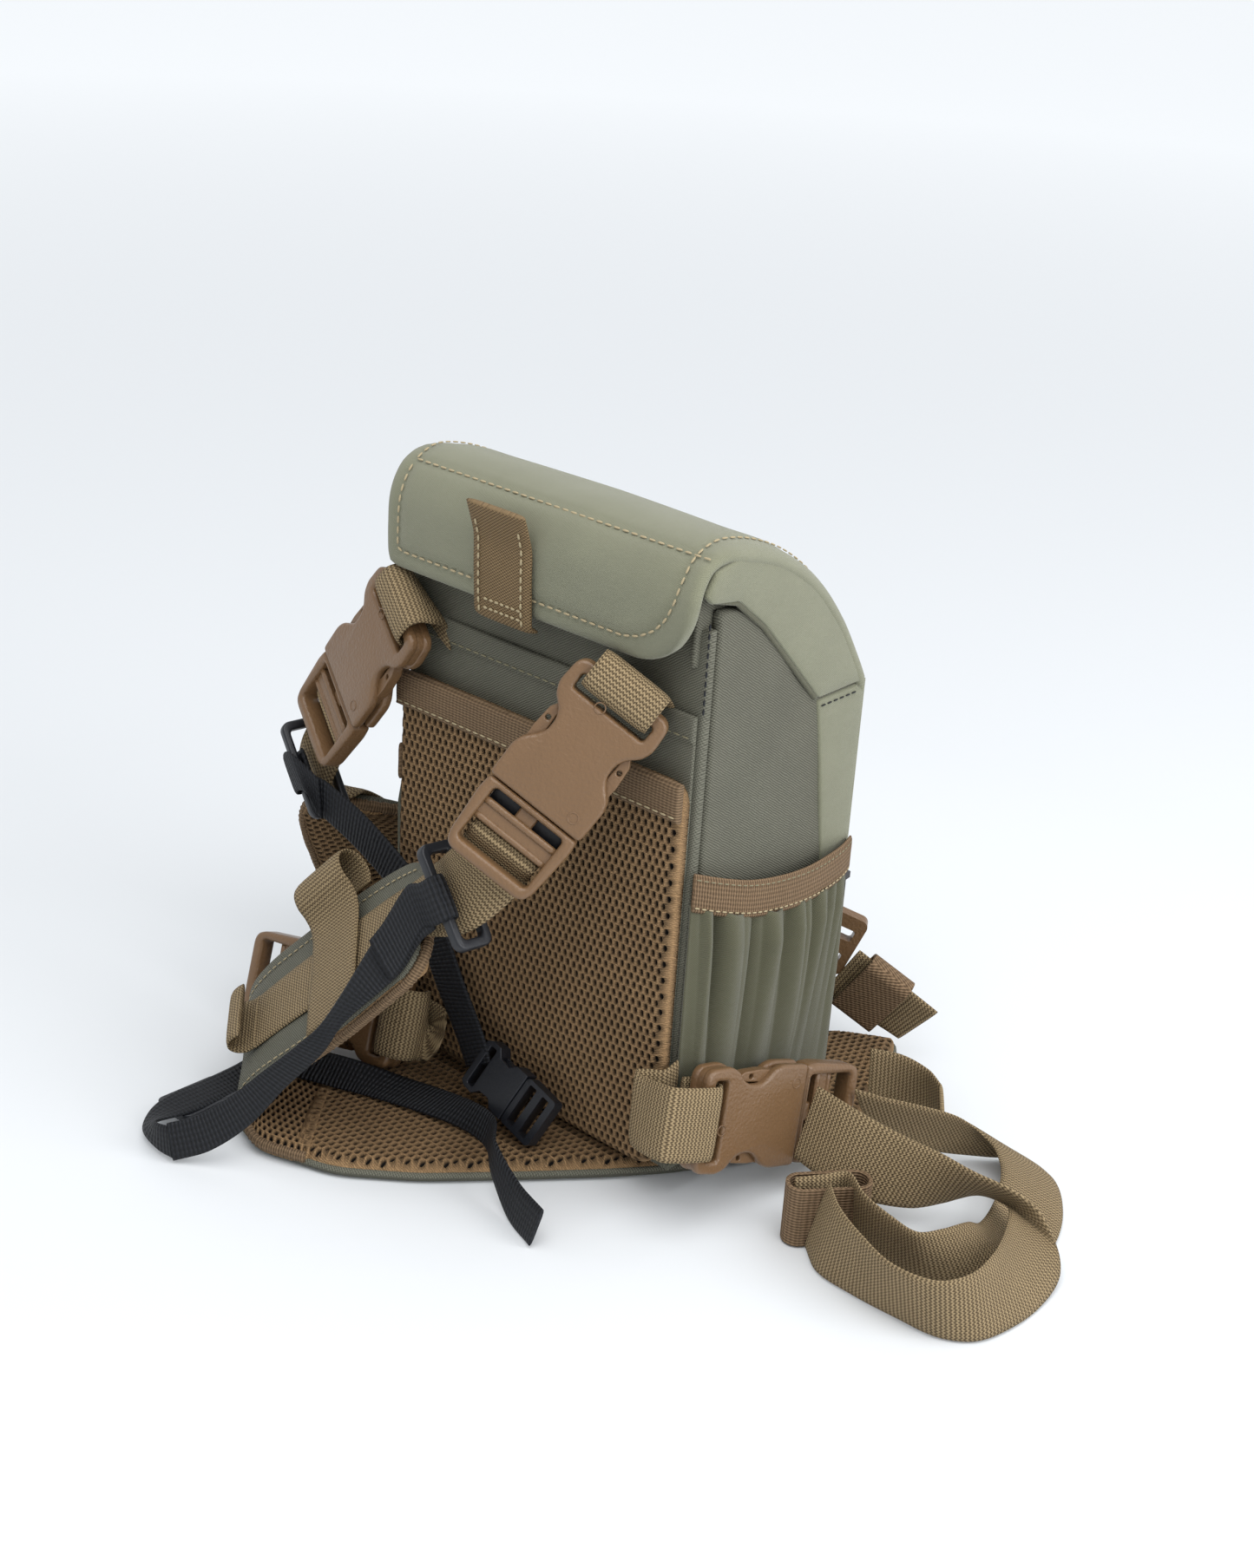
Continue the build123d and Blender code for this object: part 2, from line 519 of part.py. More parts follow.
S2 = [((121.5, -18.5, 0.9), (121.5, -20.0, 25.6)), ((132.0, -22.5, 0.9), (132.5, -26.0, 25.3)), ((144.0, -24.5, 0.9), (145.5, -29.5, 25.1)),
      ((158.0, -23.0, 0.9), (156.0, -30.0, 24.6)), ((168.5, -14.5, 0.9), (160.0, -21.5, 23.6)), ((175.0, 0.0, 0.9), (160.5, -8.0, 20.0)),
      ((176.5, 14.0, 0.9), (158.5, 4.0, 13.0)), ((173.5, 30.0, 0.9), (154.0, 19.5, 11.5)), ((165.0, 47.0, 0.9), (146.5, 35.0, 12.5)),
      ((153.0, 60.0, 0.9), (137.5, 44.0, 13.5)), ((140.0, 62.5, 1.2), (130.5, 43.5, 17.5)), ((129.0, 53.0, 2.0), (124.5, 38.5, 22.5)),
      ((118.5, 42.5, 3.4), (115.5, 31.0, 25.6)), ((107.5, 33.0, 5.2), (105.0, 23.0, 27.6)), ((99.5, 26.5, 6.5), (96.0, 17.0, 29.6))]
keep(band("s1", S1, WEB_T), "waist_strap_right")
keep(band("s2", S2, WEB_T), "waist_strap_right_return")

# webbing that loops out of the yoke's corner behind the right side
S0 = [((84.0, 44.0, 8.4), (83.0, 44.0, 29.0)), ((93.0, 51.0, 4.5), (92.5, 49.5, 28.3)), ((104.0, 54.5, 2.0), (103.0, 51.0, 26.4)),
      ((113.0, 51.5, 1.2), (111.5, 47.0, 25.6))]
keep(band("yl", S0, WEB_T), "yoke_webbing_loop")

# strap and ladder adjuster in front of the shell
W0 = [((44.0, 67.0, 26.0), (56.0, 70.5, 47.5)), ((54.0, 74.5, 20.0), (68.0, 74.5, 40.5)), ((64.0, 80.0, 14.5), (79.5, 78.5, 34.0)),
      ((69.5, 82.5, 11.5), (86.0, 80.5, 30.5))]
keep(band("w0", W0, WEB_T), "waist_strap_left")

# elastic keepers: one gathers the spare right webbing, one sleeves the front strap
SLV = section_planes(W0)[1][0]
with BuildPart() as elastic_keepers:
    with BuildSketch(Plane(origin=(117.5, -24.5, 0.6), x_dir=(0.62, 0.78, 0), z_dir=(0, 0, 1))):
        RectangleRounded(29.0, 11.0, 5.2)
        RectangleRounded(26.4, 8.4, 4.1, mode=Mode.SUBTRACT)
    extrude(amount=22.0)
    with BuildSketch(Plane(origin=SLV.origin, x_dir=SLV.x_dir, z_dir=SLV.z_dir)):
        RectangleRounded(30.0, 8.6, 4.0)
        RectangleRounded(27.4, 6.0, 2.8, mode=Mode.SUBTRACT)
    extrude(amount=9.0, both=True)
keep(elastic_keepers, "elastic_keepers")

ADJ = Plane(origin=(41.5, 61.0, 52.5), x_dir=(0.35, 0.12, 0.93), z_dir=(-0.55, 0.83, 0.1))
with BuildPart() as front_adjuster:
    with BuildSketch(ADJ):
        RectangleRounded(26.0, 33.0, 3.0)
        with Locations((-6.0, 0), (5.0, 0)):
            RectangleRounded(5.0, 26.6, 1.0, mode=Mode.SUBTRACT)
    extrude(amount=4.0)
    for k in range(4):
        with BuildSketch(Plane(origin=ADJ.origin + ADJ.z_dir * 4.0, x_dir=ADJ.x_dir, z_dir=ADJ.z_dir)):
            with Locations((-11.6, -9.0 + 6.0 * k)):
                RectangleRounded(2.0, 4.6, 0.6)
        extrude(amount=1.0)
keep(front_adjuster, "front_adjuster")

# ================================================================ sternum strap
# adjustable half: from the right arm's ring, round the adjuster, back under the arm
B1 = [((-6.0, -98.5, 110.0), (8.0, -101.0, 99.0)), ((-10.6, -107.0, 92.0), (0.5, -107.5, 82.5)), ((-20.5, -120.5, 61.5), (-11.5, -120.5, 64.0)),
      ((-27.0, -126.0, 51.5), (-19.0, -123.0, 50.0)), ((-38.0, -132.0, 38.5), (-29.5, -129.5, 35.0)), ((-46.5, -138.0, 28.0), (-40.0, -135.5, 18.5)),
      ((-55.5, -145.0, 19.0), (-50.5, -144.0, 7.0)), ((-63.5, -152.0, 15.0), (-61.0, -151.5, 1.2))]
keep(band("b1", B1, STERN_T), "sternum_strap_right")

ADJ2 = Plane(origin=(-77.0, -126.5, 5.5), x_dir=(0.1, 0.99, 0.05), z_dir=(-0.12, -0.03, 0.99))
with BuildPart() as sternum_adjuster:
    with BuildSketch(ADJ2):
        RectangleRounded(24.0, 19.0, 2.5)
        with Locations((-7.0, 0), (0.5, 0)):
            RectangleRounded(3.6, 15.6, 0.8, mode=Mode.SUBTRACT)
        with Locations((8.0, 0)):
            RectangleRounded(4.0, 12.0, 0.8, mode=Mode.SUBTRACT)
    extrude(amount=3.2)
keep(sternum_adjuster, "sternum_adjuster")

# return run, lying over the yoke and ending beside the small buckle
T1 = [((-47.0, -89.0, 9.2), (-51.0, -78.5, 15.0)), ((-34.0, -84.0, 9.2), (-34.0, -71.0, 12.5)), ((-17.0, -79.0, 9.2), (-14.0, -68.5, 14.5)),
      ((1.0, -76.0, 9.2), (3.5, -71.5, 18.8)), ((13.5, -78.0, 9.2), (14.5, -75.0, 20.0)), ((26.0, -87.5, 8.2), (25.0, -85.5, 20.6)),
      ((39.5, -93.5, 1.2), (40.5, -90.5, 14.6)), ((55.0, -99.5, 1.2), (57.0, -96.0, 14.4))]
keep(band("t1", T1, STERN_T), "sternum_strap_tail")

# plain half: from the left arm's ring, behind the right arm, down to the buckle
B2 = [((-94.0, -65.6, 95.5), (-96.5, -65.6, 110.0)), ((-84.0, -63.0, 92.0), (-84.0, -63.0, 106.5)), ((-66.0, -60.0, 82.0), (-62.0, -60.0, 96.2)),
      ((-47.0, -57.0, 66.0), (-36.5, -57.0, 76.6)), ((-32.0, -57.0, 43.0), (-18.0, -57.0, 48.0)), ((-20.0, -58.7, 28.5), (-7.5, -59.0, 36.0))]
keep(band("b2", B2, STERN_T), "sternum_strap_left")

# small side-release buckle closing the sternum strap
SBP = buckle_plane((-8.0, -60.0, 26.5), (25.5, -63.0, 17.5), (0.25, -0.93, 0.42))
with BuildPart() as sternum_buckle_female:
    with BuildSketch(rise(SBP, -3.0)):
        with BuildLine():
            Polyline((0, 8.4), (2, 9.6), (6, 9.8), (8.5, 7.0), (13, 6.6), (15.5, 9.2), (21, 9.4), (21, -9.4), (15.5, -9.2), (13, -6.6), (8.5, -7.0),
                     (6, -9.8), (2, -9.6), (0, -8.4), close=True)
        make_face()
        with Locations((3.9, 0)):
            RectangleRounded(3.0, 15.8, 0.8, mode=Mode.SUBTRACT)
    extrude(amount=6.0)
    with BuildSketch(rise(SBP, -1.6)):
        with Locations((15.2, 0)):
            Rectangle(14.0, 15.6)
    extrude(amount=3.2, mode=Mode.SUBTRACT)
keep(sternum_buckle_female, "sternum_buckle_female")
with BuildPart() as sternum_buckle_male:
    with BuildSketch(rise(SBP, -2.4)):
        with Locations((21.3 + 7.3, 0)):
            RectangleRounded(14.6, 18.6, 1.6)
        with Locations((25.2, 0), (31.6, 0)):
            RectangleRounded(3.4, 15.6, 0.6, mode=Mode.SUBTRACT)
    extrude(amount=4.8)
    with BuildSketch(rise(SBP, -1.3)):
        with Locations((16.0, 0)):
            Rectangle(12.0, 3.6)
        with Locations((15.8, 5.9), (15.8, -5.9)):
            RectangleRounded(12.2, 2.6, 1.0)
    extrude(amount=2.6)
keep(sternum_buckle_male, "sternum_buckle_male")

# Black slider rings on the shoulder webbing, which carry the sternum strap.
for nm, wb in (("ring_right", web_r), ("ring_left", web_l)):
    pl, w = section_planes([wb[6], wb[7], wb[8]])[1]
    left = nm == "ring_left"
    with BuildPart() as ring:
        with BuildSketch(pl):
            RectangleRounded(33.8 if left else 33.4, 13.2 if left else 11.6, 2.8)
            RectangleRounded(30.2 if left else 29.6, 10.2 if left else 8.2, 1.6, mode=Mode.SUBTRACT)
        extrude(amount=1.0 if left else 1.6, both=True)
        if left:
            add(getattr(wl, "part", wl), mode=Mode.SUBTRACT)
    keep(ring, nm)
    print("RING", nm, pl.origin, pl.x_dir, pl.z_dir)
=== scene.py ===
import bpy, bmesh, math
import numpy as np
from mathutils import Vector, Matrix
from mathutils.geometry import delaunay_2d_cdt


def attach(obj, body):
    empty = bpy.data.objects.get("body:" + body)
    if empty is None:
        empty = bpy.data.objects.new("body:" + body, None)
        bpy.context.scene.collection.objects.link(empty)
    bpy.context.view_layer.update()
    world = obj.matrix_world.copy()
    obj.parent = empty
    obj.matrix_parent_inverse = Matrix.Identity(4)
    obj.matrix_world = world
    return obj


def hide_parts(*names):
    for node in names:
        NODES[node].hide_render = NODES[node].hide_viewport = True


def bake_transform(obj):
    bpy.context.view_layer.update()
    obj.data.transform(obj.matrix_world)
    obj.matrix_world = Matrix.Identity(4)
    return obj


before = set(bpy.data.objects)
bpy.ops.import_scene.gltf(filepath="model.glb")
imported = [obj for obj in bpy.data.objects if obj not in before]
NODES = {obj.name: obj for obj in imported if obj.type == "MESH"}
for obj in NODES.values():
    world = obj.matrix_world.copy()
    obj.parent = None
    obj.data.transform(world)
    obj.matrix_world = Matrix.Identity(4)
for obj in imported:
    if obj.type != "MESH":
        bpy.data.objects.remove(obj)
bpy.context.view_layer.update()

rng = np.random.default_rng(7)


# ------------------------------------------------------------------ materials
def lin(r, g, b):
    f = lambda c: (c / 255 / 12.92) if c / 255 <= 0.04045 else ((c / 255 + 0.055) / 1.055) ** 2.4
    return (f(r), f(g), f(b), 1.0)


class Mat:
    def __init__(self, name, rough=0.8, spec=0.3):
        self.m = bpy.data.materials.new(name)
        self.m.use_nodes = True
        self.nt = self.m.node_tree
        self.nt.nodes.clear()
        out = self.nt.nodes.new("ShaderNodeOutputMaterial")
        self.b = self.nt.nodes.new("ShaderNodeBsdfPrincipled")
        self.nt.links.new(self.b.outputs[0], out.inputs[0])
        self.b.inputs["Roughness"].default_value = rough
        self.b.inputs["Specular IOR Level"].default_value = spec

    def n(self, kind, **kw):
        x = self.nt.nodes.new(kind)
        for k, v in kw.items():
            setattr(x, k, v)
        return x

    def link(self, a, b):
        self.nt.links.new(a, b)

    def math(self, op, a, b=None, c=None):
        x = self.n("ShaderNodeMath", operation=op)
        for i, v in enumerate((a, b, c)):
            if v is None:
                continue
            if isinstance(v, (int, float)):
                x.inputs[i].default_value = v
            else:
                self.link(v, x.inputs[i])
        return x.outputs[0]

    def uv(self):
        u = self.n("ShaderNodeUVMap")
        u.uv_map = "UVMap"
        s = self.n("ShaderNodeSeparateXYZ")
        self.link(u.outputs[0], s.inputs[0])
        return s.outputs[0], s.outputs[1], u.outputs[0]

    def obj(self):
        t = self.n("ShaderNodeTexCoord")
        return t.outputs["Object"]

    def noise(self, vec, scale, detail=2.0, rough=0.5):
        x = self.n("ShaderNodeTexNoise")
        x.inputs["Scale"].default_value = scale
        x.inputs["Detail"].default_value = detail
        x.inputs["Roughness"].default_value = rough
        if vec is not None:
            self.link(vec, x.inputs["Vector"])
        return x.outputs[0]

    def mix(self, f, a, b):
        x = self.n("ShaderNodeMix", data_type="RGBA")
        for sock, v in ((x.inputs[0], f), (x.inputs[6], a), (x.inputs[7], b)):
            if isinstance(v, (int, float)):
                sock.default_value = v
            elif isinstance(v, tuple):
                sock.default_value = v
            else:
                self.link(v, sock)
        return x.outputs[2]

    def bump(self, h, dist, strength=1.0, normal=None):
        x = self.n("ShaderNodeBump")
        x.inputs["Strength"].default_value = strength
        x.inputs["Distance"].default_value = dist
        self.link(h, x.inputs["Height"])
        if normal is not None:
            self.link(normal, x.inputs["Normal"])
        return x.outputs[0]


TAU = 2 * math.pi


def weave(name, dark, light, pu, pv, bump, rough=0.85, kind="plain", contrast=1.0, sheen=0.0, blotch=0.12):
    """Woven cloth; the UV map is in millimetres, u across and v along."""
    m = Mat(name, rough)
    u, v, uv = m.uv()
    wob = m.math("MULTIPLY", m.math("SUBTRACT", m.noise(uv, 0.35, 2.0), 0.5), 0.5)
    u2 = m.math("ADD", u, wob)
    v2 = m.math("ADD", v, wob)
    if kind == "plain":
        a = m.math("SINE", m.math("MULTIPLY", u2, TAU / pu))
        b = m.math("SINE", m.math("MULTIPLY", v2, TAU / pv))
        h = m.math("MULTIPLY", a, b)
    elif kind == "webbing":
        a = m.math("SINE", m.math("MULTIPLY", u2, TAU / pu))
        b = m.math("SINE", m.math("ADD", m.math("MULTIPLY", v2, TAU / pv), m.math("MULTIPLY", a, 1.15)))
        h = m.math("ADD", m.math("MULTIPLY", b, 0.75), m.math("MULTIPLY", m.math("SINE", m.math("MULTIPLY", u2, 2 * TAU / pu)), 0.3))
    elif kind == "chevron":
        z = m.math("MULTIPLY", m.math("PINGPONG", u2, pu * 2), 1.0 / pu)
        b = m.math("SINE", m.math("MULTIPLY", m.math("ADD", m.math("DIVIDE", v2, pv), m.math("MULTIPLY", z, 0.5)), TAU))
        a = m.math("SINE", m.math("MULTIPLY", u2, TAU / pu))
        h = m.math("ADD", m.math("MULTIPLY", b, 0.8), m.math("MULTIPLY", a, 0.3))
    elif kind == "rib":
        a = m.math("SINE", m.math("MULTIPLY", v2, TAU / pv))
        b = m.math("SINE", m.math("MULTIPLY", u2, TAU / pu))
        h = m.math("ADD", m.math("MULTIPLY", a, 0.75), m.math("MULTIPLY", b, 0.35))
    else:
        d1 = m.math("SINE", m.math("MULTIPLY", m.math("ADD", m.math("DIVIDE", u2, pu), m.math("DIVIDE", v2, pv)), TAU))
        d2 = m.math("SINE", m.math("MULTIPLY", m.math("SUBTRACT", m.math("DIVIDE", u2, pu * 0.55), m.math("DIVIDE", v2, pv * 1.9)), TAU))
        h = m.math("ADD", m.math("MULTIPLY", d1, 0.7), m.math("MULTIPLY", d2, 0.35))
    fine = m.noise(uv, 3.2, 3.0, 0.6)
    f = m.math("ADD", m.math("MULTIPLY", h, 0.5 * contrast), 0.5)
    f = m.math("ADD", f, m.math("MULTIPLY", m.math("SUBTRACT", fine, 0.5), 0.5))
    x = m.n("ShaderNodeClamp")
    m.link(f, x.inputs[0])
    col = m.mix(x.outputs[0], dark, light)
    big = m.noise(uv, 0.05, 3.0)
    sh = m.math("ADD", m.math("MULTIPLY", m.math("SUBTRACT", big, 0.5), 2 * blotch), 1.0)
    hs = m.n("ShaderNodeHueSaturation")
    m.link(sh, hs.inputs["Value"])
    m.link(col, hs.inputs["Color"])
    m.link(hs.outputs[0], m.b.inputs["Base Color"])
    hh = m.math("ADD", h, m.math("MULTIPLY", fine, 0.6))
    m.link(m.bump(hh, bump), m.b.inputs["Normal"])
    if sheen:
        m.b.inputs["Sheen Weight"].default_value = sheen
        m.b.inputs["Sheen Roughness"].default_value = 0.5
    return m.m


def plastic(name, col, rough=0.45, grain=1.0, spec=0.45):
    m = Mat(name, rough, spec)
    o = m.obj()
    big = m.noise(o, 60, 3.0)
    c2 = tuple(c * 0.86 for c in col[:3]) + (1.0,)
    m.link(m.mix(big, c2, col), m.b.inputs["Base Color"])
    r = m.math("ADD", m.math("MULTIPLY", m.noise(o, 300, 2.0), 0.16), rough - 0.08)
    m.link(r, m.b.inputs["Roughness"])
    g = m.noise(o, 900, 2.0, 0.5)
    m.link(m.bump(g, 0.00011 * grain, 1.0), m.b.inputs["Normal"])
    return m.m


def knit(name, light, dark):
    """Spacer mesh yarn, with painted shade darkening it down in its holes."""
    m = Mat(name, 0.85)
    u, v, uv = m.uv()
    at = m.n("ShaderNodeAttribute")
    at.attribute_name = "pit_shade"
    fine = m.noise(uv, 2.6, 3.0, 0.6)
    a = m.math("SINE", m.math("MULTIPLY", m.math("ADD", v, m.math("MULTIPLY", m.noise(uv, 0.8), 1.2)), TAU / 0.62))
    y = m.mix(m.math("ADD", m.math("MULTIPLY", a, 0.28), fine), tuple(c * 0.55 for c in light[:3]) + (1,), light)
    big = m.noise(uv, 0.06, 2.0)
    hs = m.n("ShaderNodeHueSaturation")
    m.link(m.math("ADD", m.math("MULTIPLY", big, 0.3), 0.85), hs.inputs["Value"])
    m.link(y, hs.inputs["Color"])
    # painted shade: mix towards the dark colour by the per-point shade attribute, deepest down in the holes
    m.link(m.mix(at.outputs["Fac"], hs.outputs[0], dark), m.b.inputs["Base Color"])
    h = m.math("ADD", a, m.math("MULTIPLY", fine, 1.5))
    m.link(m.bump(h, 0.00016), m.b.inputs["Normal"])
    return m.m


M_CORD = weave("cordura", lin(72, 71, 61), lin(118, 117, 103), 1.3, 0.9, 0.00012, 0.8, "twill", 1.0)
M_SAGE = weave("sage", lin(106, 107, 86), lin(142, 142, 119), 0.62, 0.5, 0.00006, 0.9, "twill", 0.55, 0.25, 0.1)
M_SAGE2 = weave("sage_stretch", lin(70, 69, 51), lin(104, 103, 80), 0.7, 0.6, 0.00008, 0.9, "twill", 0.7, 0.2, 0.1)
M_BIND = weave("binding", lin(80, 63, 45), lin(138, 114, 87), 1.6, 0.95, 0.0002, 0.85, "rib", 0.9)
M_WEB = weave("webbing", lin(78, 63, 42), lin(172, 150, 114), 1.3, 1.45, 0.00026, 0.8, "webbing", 1.15)
M_WEB2 = weave("webbing_soft", lin(70, 53, 35), lin(152, 128, 92), 1.5, 1.05, 0.00022, 0.82, "plain", 1.1)
M_ELAST = weave("elastic", lin(82, 64, 45), lin(146, 120, 92), 1.6, 1.05, 0.00025, 0.85, "rib", 1.0)
M_BLACK = weave("black_webbing", lin(7, 8, 10), lin(30, 32, 37), 2.2, 1.5, 0.0003, 0.6, "rib", 1.0)
M_LINE = weave("lining", lin(60, 62, 54), lin(88, 90, 80), 0.6, 0.6, 0.00006, 0.85)
M_BUCK = plastic("buckle", lin(116, 88, 60), 0.33, 2.4, 0.5)
M_BPL = plastic("black_plastic", lin(26, 28, 33), 0.4, 0.6)
M_MET = plastic("dark_metal", lin(40, 38, 38), 0.35, 0.3)
M_MAG = plastic("magnet_steel", lin(170, 170, 172), 0.3, 0.2)
M_THREAD = weave("thread", lin(140, 126, 96), lin(196, 180, 146), 0.3, 0.3, 0.00003, 0.7)
M_THREADG = weave("thread_dark", lin(112, 106, 82), lin(150, 144, 116), 0.3, 0.3, 0.00003, 0.7)
# the second colour is the painted shade down in the mesh's holes
M_KNIT = knit("spacer_mesh", lin(178, 143, 102), lin(13, 9, 6))


# ------------------------------------------------------------------ mesh helpers (millimetres in, metres out)
def mk(name, V, F, mat, body=None, uv=None, smooth=True, rep=(), attr=None, angle=None):
    me = bpy.data.meshes.new(name)
    me.from_pydata([tuple(float(c) * 0.001 for c in p) for p in V], [], [tuple(int(i) for i in f) for f in F])
    me.update()
    if uv is not None:
        lay = me.uv_layers.new(name="UVMap")
        idx = np.zeros(len(me.loops), int)
        me.loops.foreach_get("vertex_index", idx)
        lay.data.foreach_set("uv", np.asarray(uv, np.float32)[idx].ravel())
    # per-point painted shade amount, read by the spacer mesh material to darken its holes
    if attr is not None:
        a = me.attributes.new("pit_shade", "FLOAT", "POINT")
        a.data.foreach_set("value", np.asarray(attr, np.float32))
    bm = bmesh.new()
    bm.from_mesh(me)
    bmesh.ops.recalc_face_normals(bm, faces=bm.faces)
    bm.to_mesh(me)
    bm.free()
    o = bpy.data.objects.new(name, me)
    bpy.context.scene.collection.objects.link(o)
    me.materials.append(mat)
    if uv is None:
        box_uv(me)
    me.polygons.foreach_set("use_smooth", [smooth] * len(me.polygons))
    if angle:
        me.set_sharp_from_angle(angle=math.radians(angle))
    if body:
        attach(o, body)
    if rep:
        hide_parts(*rep)
    return o


def box_uv(me):
    lay = me.uv_layers.get("UVMap") or me.uv_layers.new(name="UVMap")
    for p in me.polygons:
        n = p.normal
        k = max(range(3), key=lambda i: abs(n[i]))
        for li in p.loop_indices:
            c = me.vertices[me.loops[li].vertex_index].co
            lay.data[li].uv = [(c.y, c.z), (c.x, c.z), (c.x, c.y)][k]
            lay.data[li].uv = (lay.data[li].uv[0] * 1000, lay.data[li].uv[1] * 1000)


def node_look(name, mat, bevel=0.0, seg=3):
    o = NODES[name]
    o.data.materials.clear()
    o.data.materials.append(mat)
    if not o.data.uv_layers.get("UVMap"):
        box_uv(o.data)
    if bevel:
        w = o.modifiers.new("weld", "WELD")
        w.merge_threshold = 0.00001
        b = o.modifiers.new("bevel", "BEVEL")
        b.width = bevel * 0.001
        b.segments = seg
        b.limit_method = "ANGLE"
        b.angle_limit = math.radians(32)
        b.harden_normals = False
        s = o.modifiers.new("wn", "WEIGHTED_NORMAL")
        s.keep_sharp = True
    for p in o.data.polygons:
        p.use_smooth = bool(bevel)
    return o


def hermite(P, t, T):
    P, t, T = np.asarray(P, float), np.asarray(t, float), np.asarray(T, float)
    m = np.zeros_like(P)
    m[1:-1] = (P[2:] - P[:-2]) / (t[2:] - t[:-2])[:, None]
    m[0] = (P[1] - P[0]) / (t[1] - t[0])
    m[-1] = (P[-1] - P[-2]) / (t[-1] - t[-2])
    k = np.clip(np.searchsorted(t, T, side="right") - 1, 0, len(t) - 2)
    h = (t[k + 1] - t[k])
    s = ((T - t[k]) / h)[:, None]
    h = h[:, None]
    return ((2 * s ** 3 - 3 * s ** 2 + 1) * P[k] + (s ** 3 - 2 * s ** 2 + s) * h * m[k]
            + (-2 * s ** 3 + 3 * s ** 2) * P[k + 1] + (s ** 3 - s ** 2) * h * m[k + 1])


def smooth_pairs(pairs, step=1.5):
    A = np.array([p[0] for p in pairs], float)
    B = np.array([p[1] for p in pairs], float)
    mid = (A + B) / 2
    t = np.concatenate([[0], np.cumsum(np.maximum(np.linalg.norm(np.diff(mid, axis=0), axis=1), 0.8))])
    n = max(int(t[-1] / step), 4)
    T = np.linspace(0, t[-1], n + 1)
    A2, B2 = hermite(A, t, T), hermite(B, t, T)
    m2 = (A2 + B2) / 2
    s = np.concatenate([[0], np.cumsum(np.linalg.norm(np.diff(m2, axis=0), axis=1))])
    return A2, B2, s


def norm(v):
    return v / np.maximum(np.linalg.norm(v, axis=-1, keepdims=True), 1e-9)


def frames_of(A, B):
    m = (A + B) / 2
    x = norm(B - A)
    t = np.gradient(m, axis=0)
    t = norm(t - (t * x).sum(1, keepdims=True) * x)
    n = np.cross(t, x)
    return m, x, t, n


def ribbon(name, pairs, width, thick, mat, body=None, rep=(), step=1.4, nx=9, keepw=True, cup=0.0, lift=0.0, shift=0.0, curl_end=0.0,
           ripple=0.0, seed=0):
    """Webbing: a closed flat strip with rounded edges, its UV in millimetres along the strip."""
    A, B, s = smooth_pairs(pairs, step)
    m, x, t, n = frames_of(A, B)
    w = np.full(len(m), width) if keepw else np.linalg.norm(B - A, axis=1)
    q = np.linspace(-1, 1, nx)
    q = np.sign(q) * (1 - (1 - np.abs(q)) ** 1.35)
    hq = np.sqrt(np.maximum(1 - np.abs(q) ** 7, 0))
    hq[0] = hq[-1] = 0.35
    r = np.random.default_rng(seed)
    ph = r.uniform(0, TAU, 3)
    wave = ripple * (np.sin(s / 9 + ph[0]) + 0.6 * np.sin(s / 5.1 + ph[1]))
    V, UV = [], []
    for side in (1, -1):
        for j in range(len(q)):
            c = cup * (q[j] ** 2) + lift
            P = m + x * ((q[j] * w / 2) + shift)[:, None] + n * (c + side * hq[j] * thick / 2 + wave * (0.4 + 0.6 * abs(q[j])))[:, None]
            V.append(P)
            UV.append(np.stack([q[j] * w / 2 + w / 2 + (0 if side > 0 else 0.4), s], 1))
    K, L = len(q), len(m)
    V = np.array(V)
    UV = np.array(UV)
    idx = lambda r_, i: r_ * L + i
    F = []
    ring = list(range(K)) + list(range(2 * K - 1, K - 1, -1))
    for a in range(len(ring)):
        b = (a + 1) % len(ring)
        for i in range(L - 1):
            F.append((idx(ring[a], i), idx(ring[b], i), idx(ring[b], i + 1), idx(ring[a], i + 1)))
    for i in (0, L - 1):
        for j in range(K - 1):
            F.append((idx(j, i), idx(j + 1, i), idx(K + j + 1, i), idx(K + j, i)))
    return mk(name, V.reshape(-1, 3), F, mat, body, UV.reshape(-1, 2), rep=rep)


def capsules(name, segs, mat, body, r=0.3):
    """Stitches: short thread bars, half sunk in the cloth. segs: (start, end, normal)."""
    V, F, UV = [], [], []
    prof = [(0.0, 0.15), (0.12, 0.75), (0.35, 1.0), (0.65, 1.0), (0.88, 0.75), (1.0, 0.15)]
    for a, b, n in segs:
        a, b, n = (np.asarray(z, float) for z in (a, b, n))
        d = b - a
        L = np.linalg.norm(d)
        if L < 1e-6:
            continue
        e = d / L
        n = n - (n @ e) * e
        n = n / max(np.linalg.norm(n), 1e-9)
        y = np.cross(e, n)
        base = len(V)
        for f, k in prof:
            for g in range(6):
                c = math.cos(g * TAU / 6)
                s_ = math.sin(g * TAU / 6)
                V.append(a + d * f + (y * c * 1.15 + n * s_ * 0.85) * r * k + n * r * 0.25)
                UV.append((f * L, g * 0.1))
        for i in range(len(prof) - 1):
            for g in range(6):
                h = (g + 1) % 6
                F.append((base + i * 6 + g, base + i * 6 + h, base + (i + 1) * 6 + h, base + (i + 1) * 6 + g))
        F.append(tuple(base + g for g in range(6)))
        F.append(tuple(base + (len(prof) - 1) * 6 + 5 - g for g in range(6)))
    if V:
        return mk(name, V, F, mat, body, UV)


def stitch_path(P, N, length=3.0, gap=0.9, lift=0.0):
    """Cuts a path (points, normals) into stitches."""
    P, N = np.asarray(P, float), np.asarray(N, float)
    s = np.concatenate([[0], np.cumsum(np.linalg.norm(np.diff(P, axis=0), axis=1))])
    out = []
    k = 0.4
    while k + length < s[-1]:
        f = lambda v: np.array([np.interp(v, s, P[:, i]) for i in range(3)])
        g = lambda v: np.array([np.interp(v, s, N[:, i]) for i in range(3)])
        nn = g(k + length / 2)
        out.append((f(k) + nn * lift, f(k + length) + nn * lift, nn))
        k += length + gap
    return out


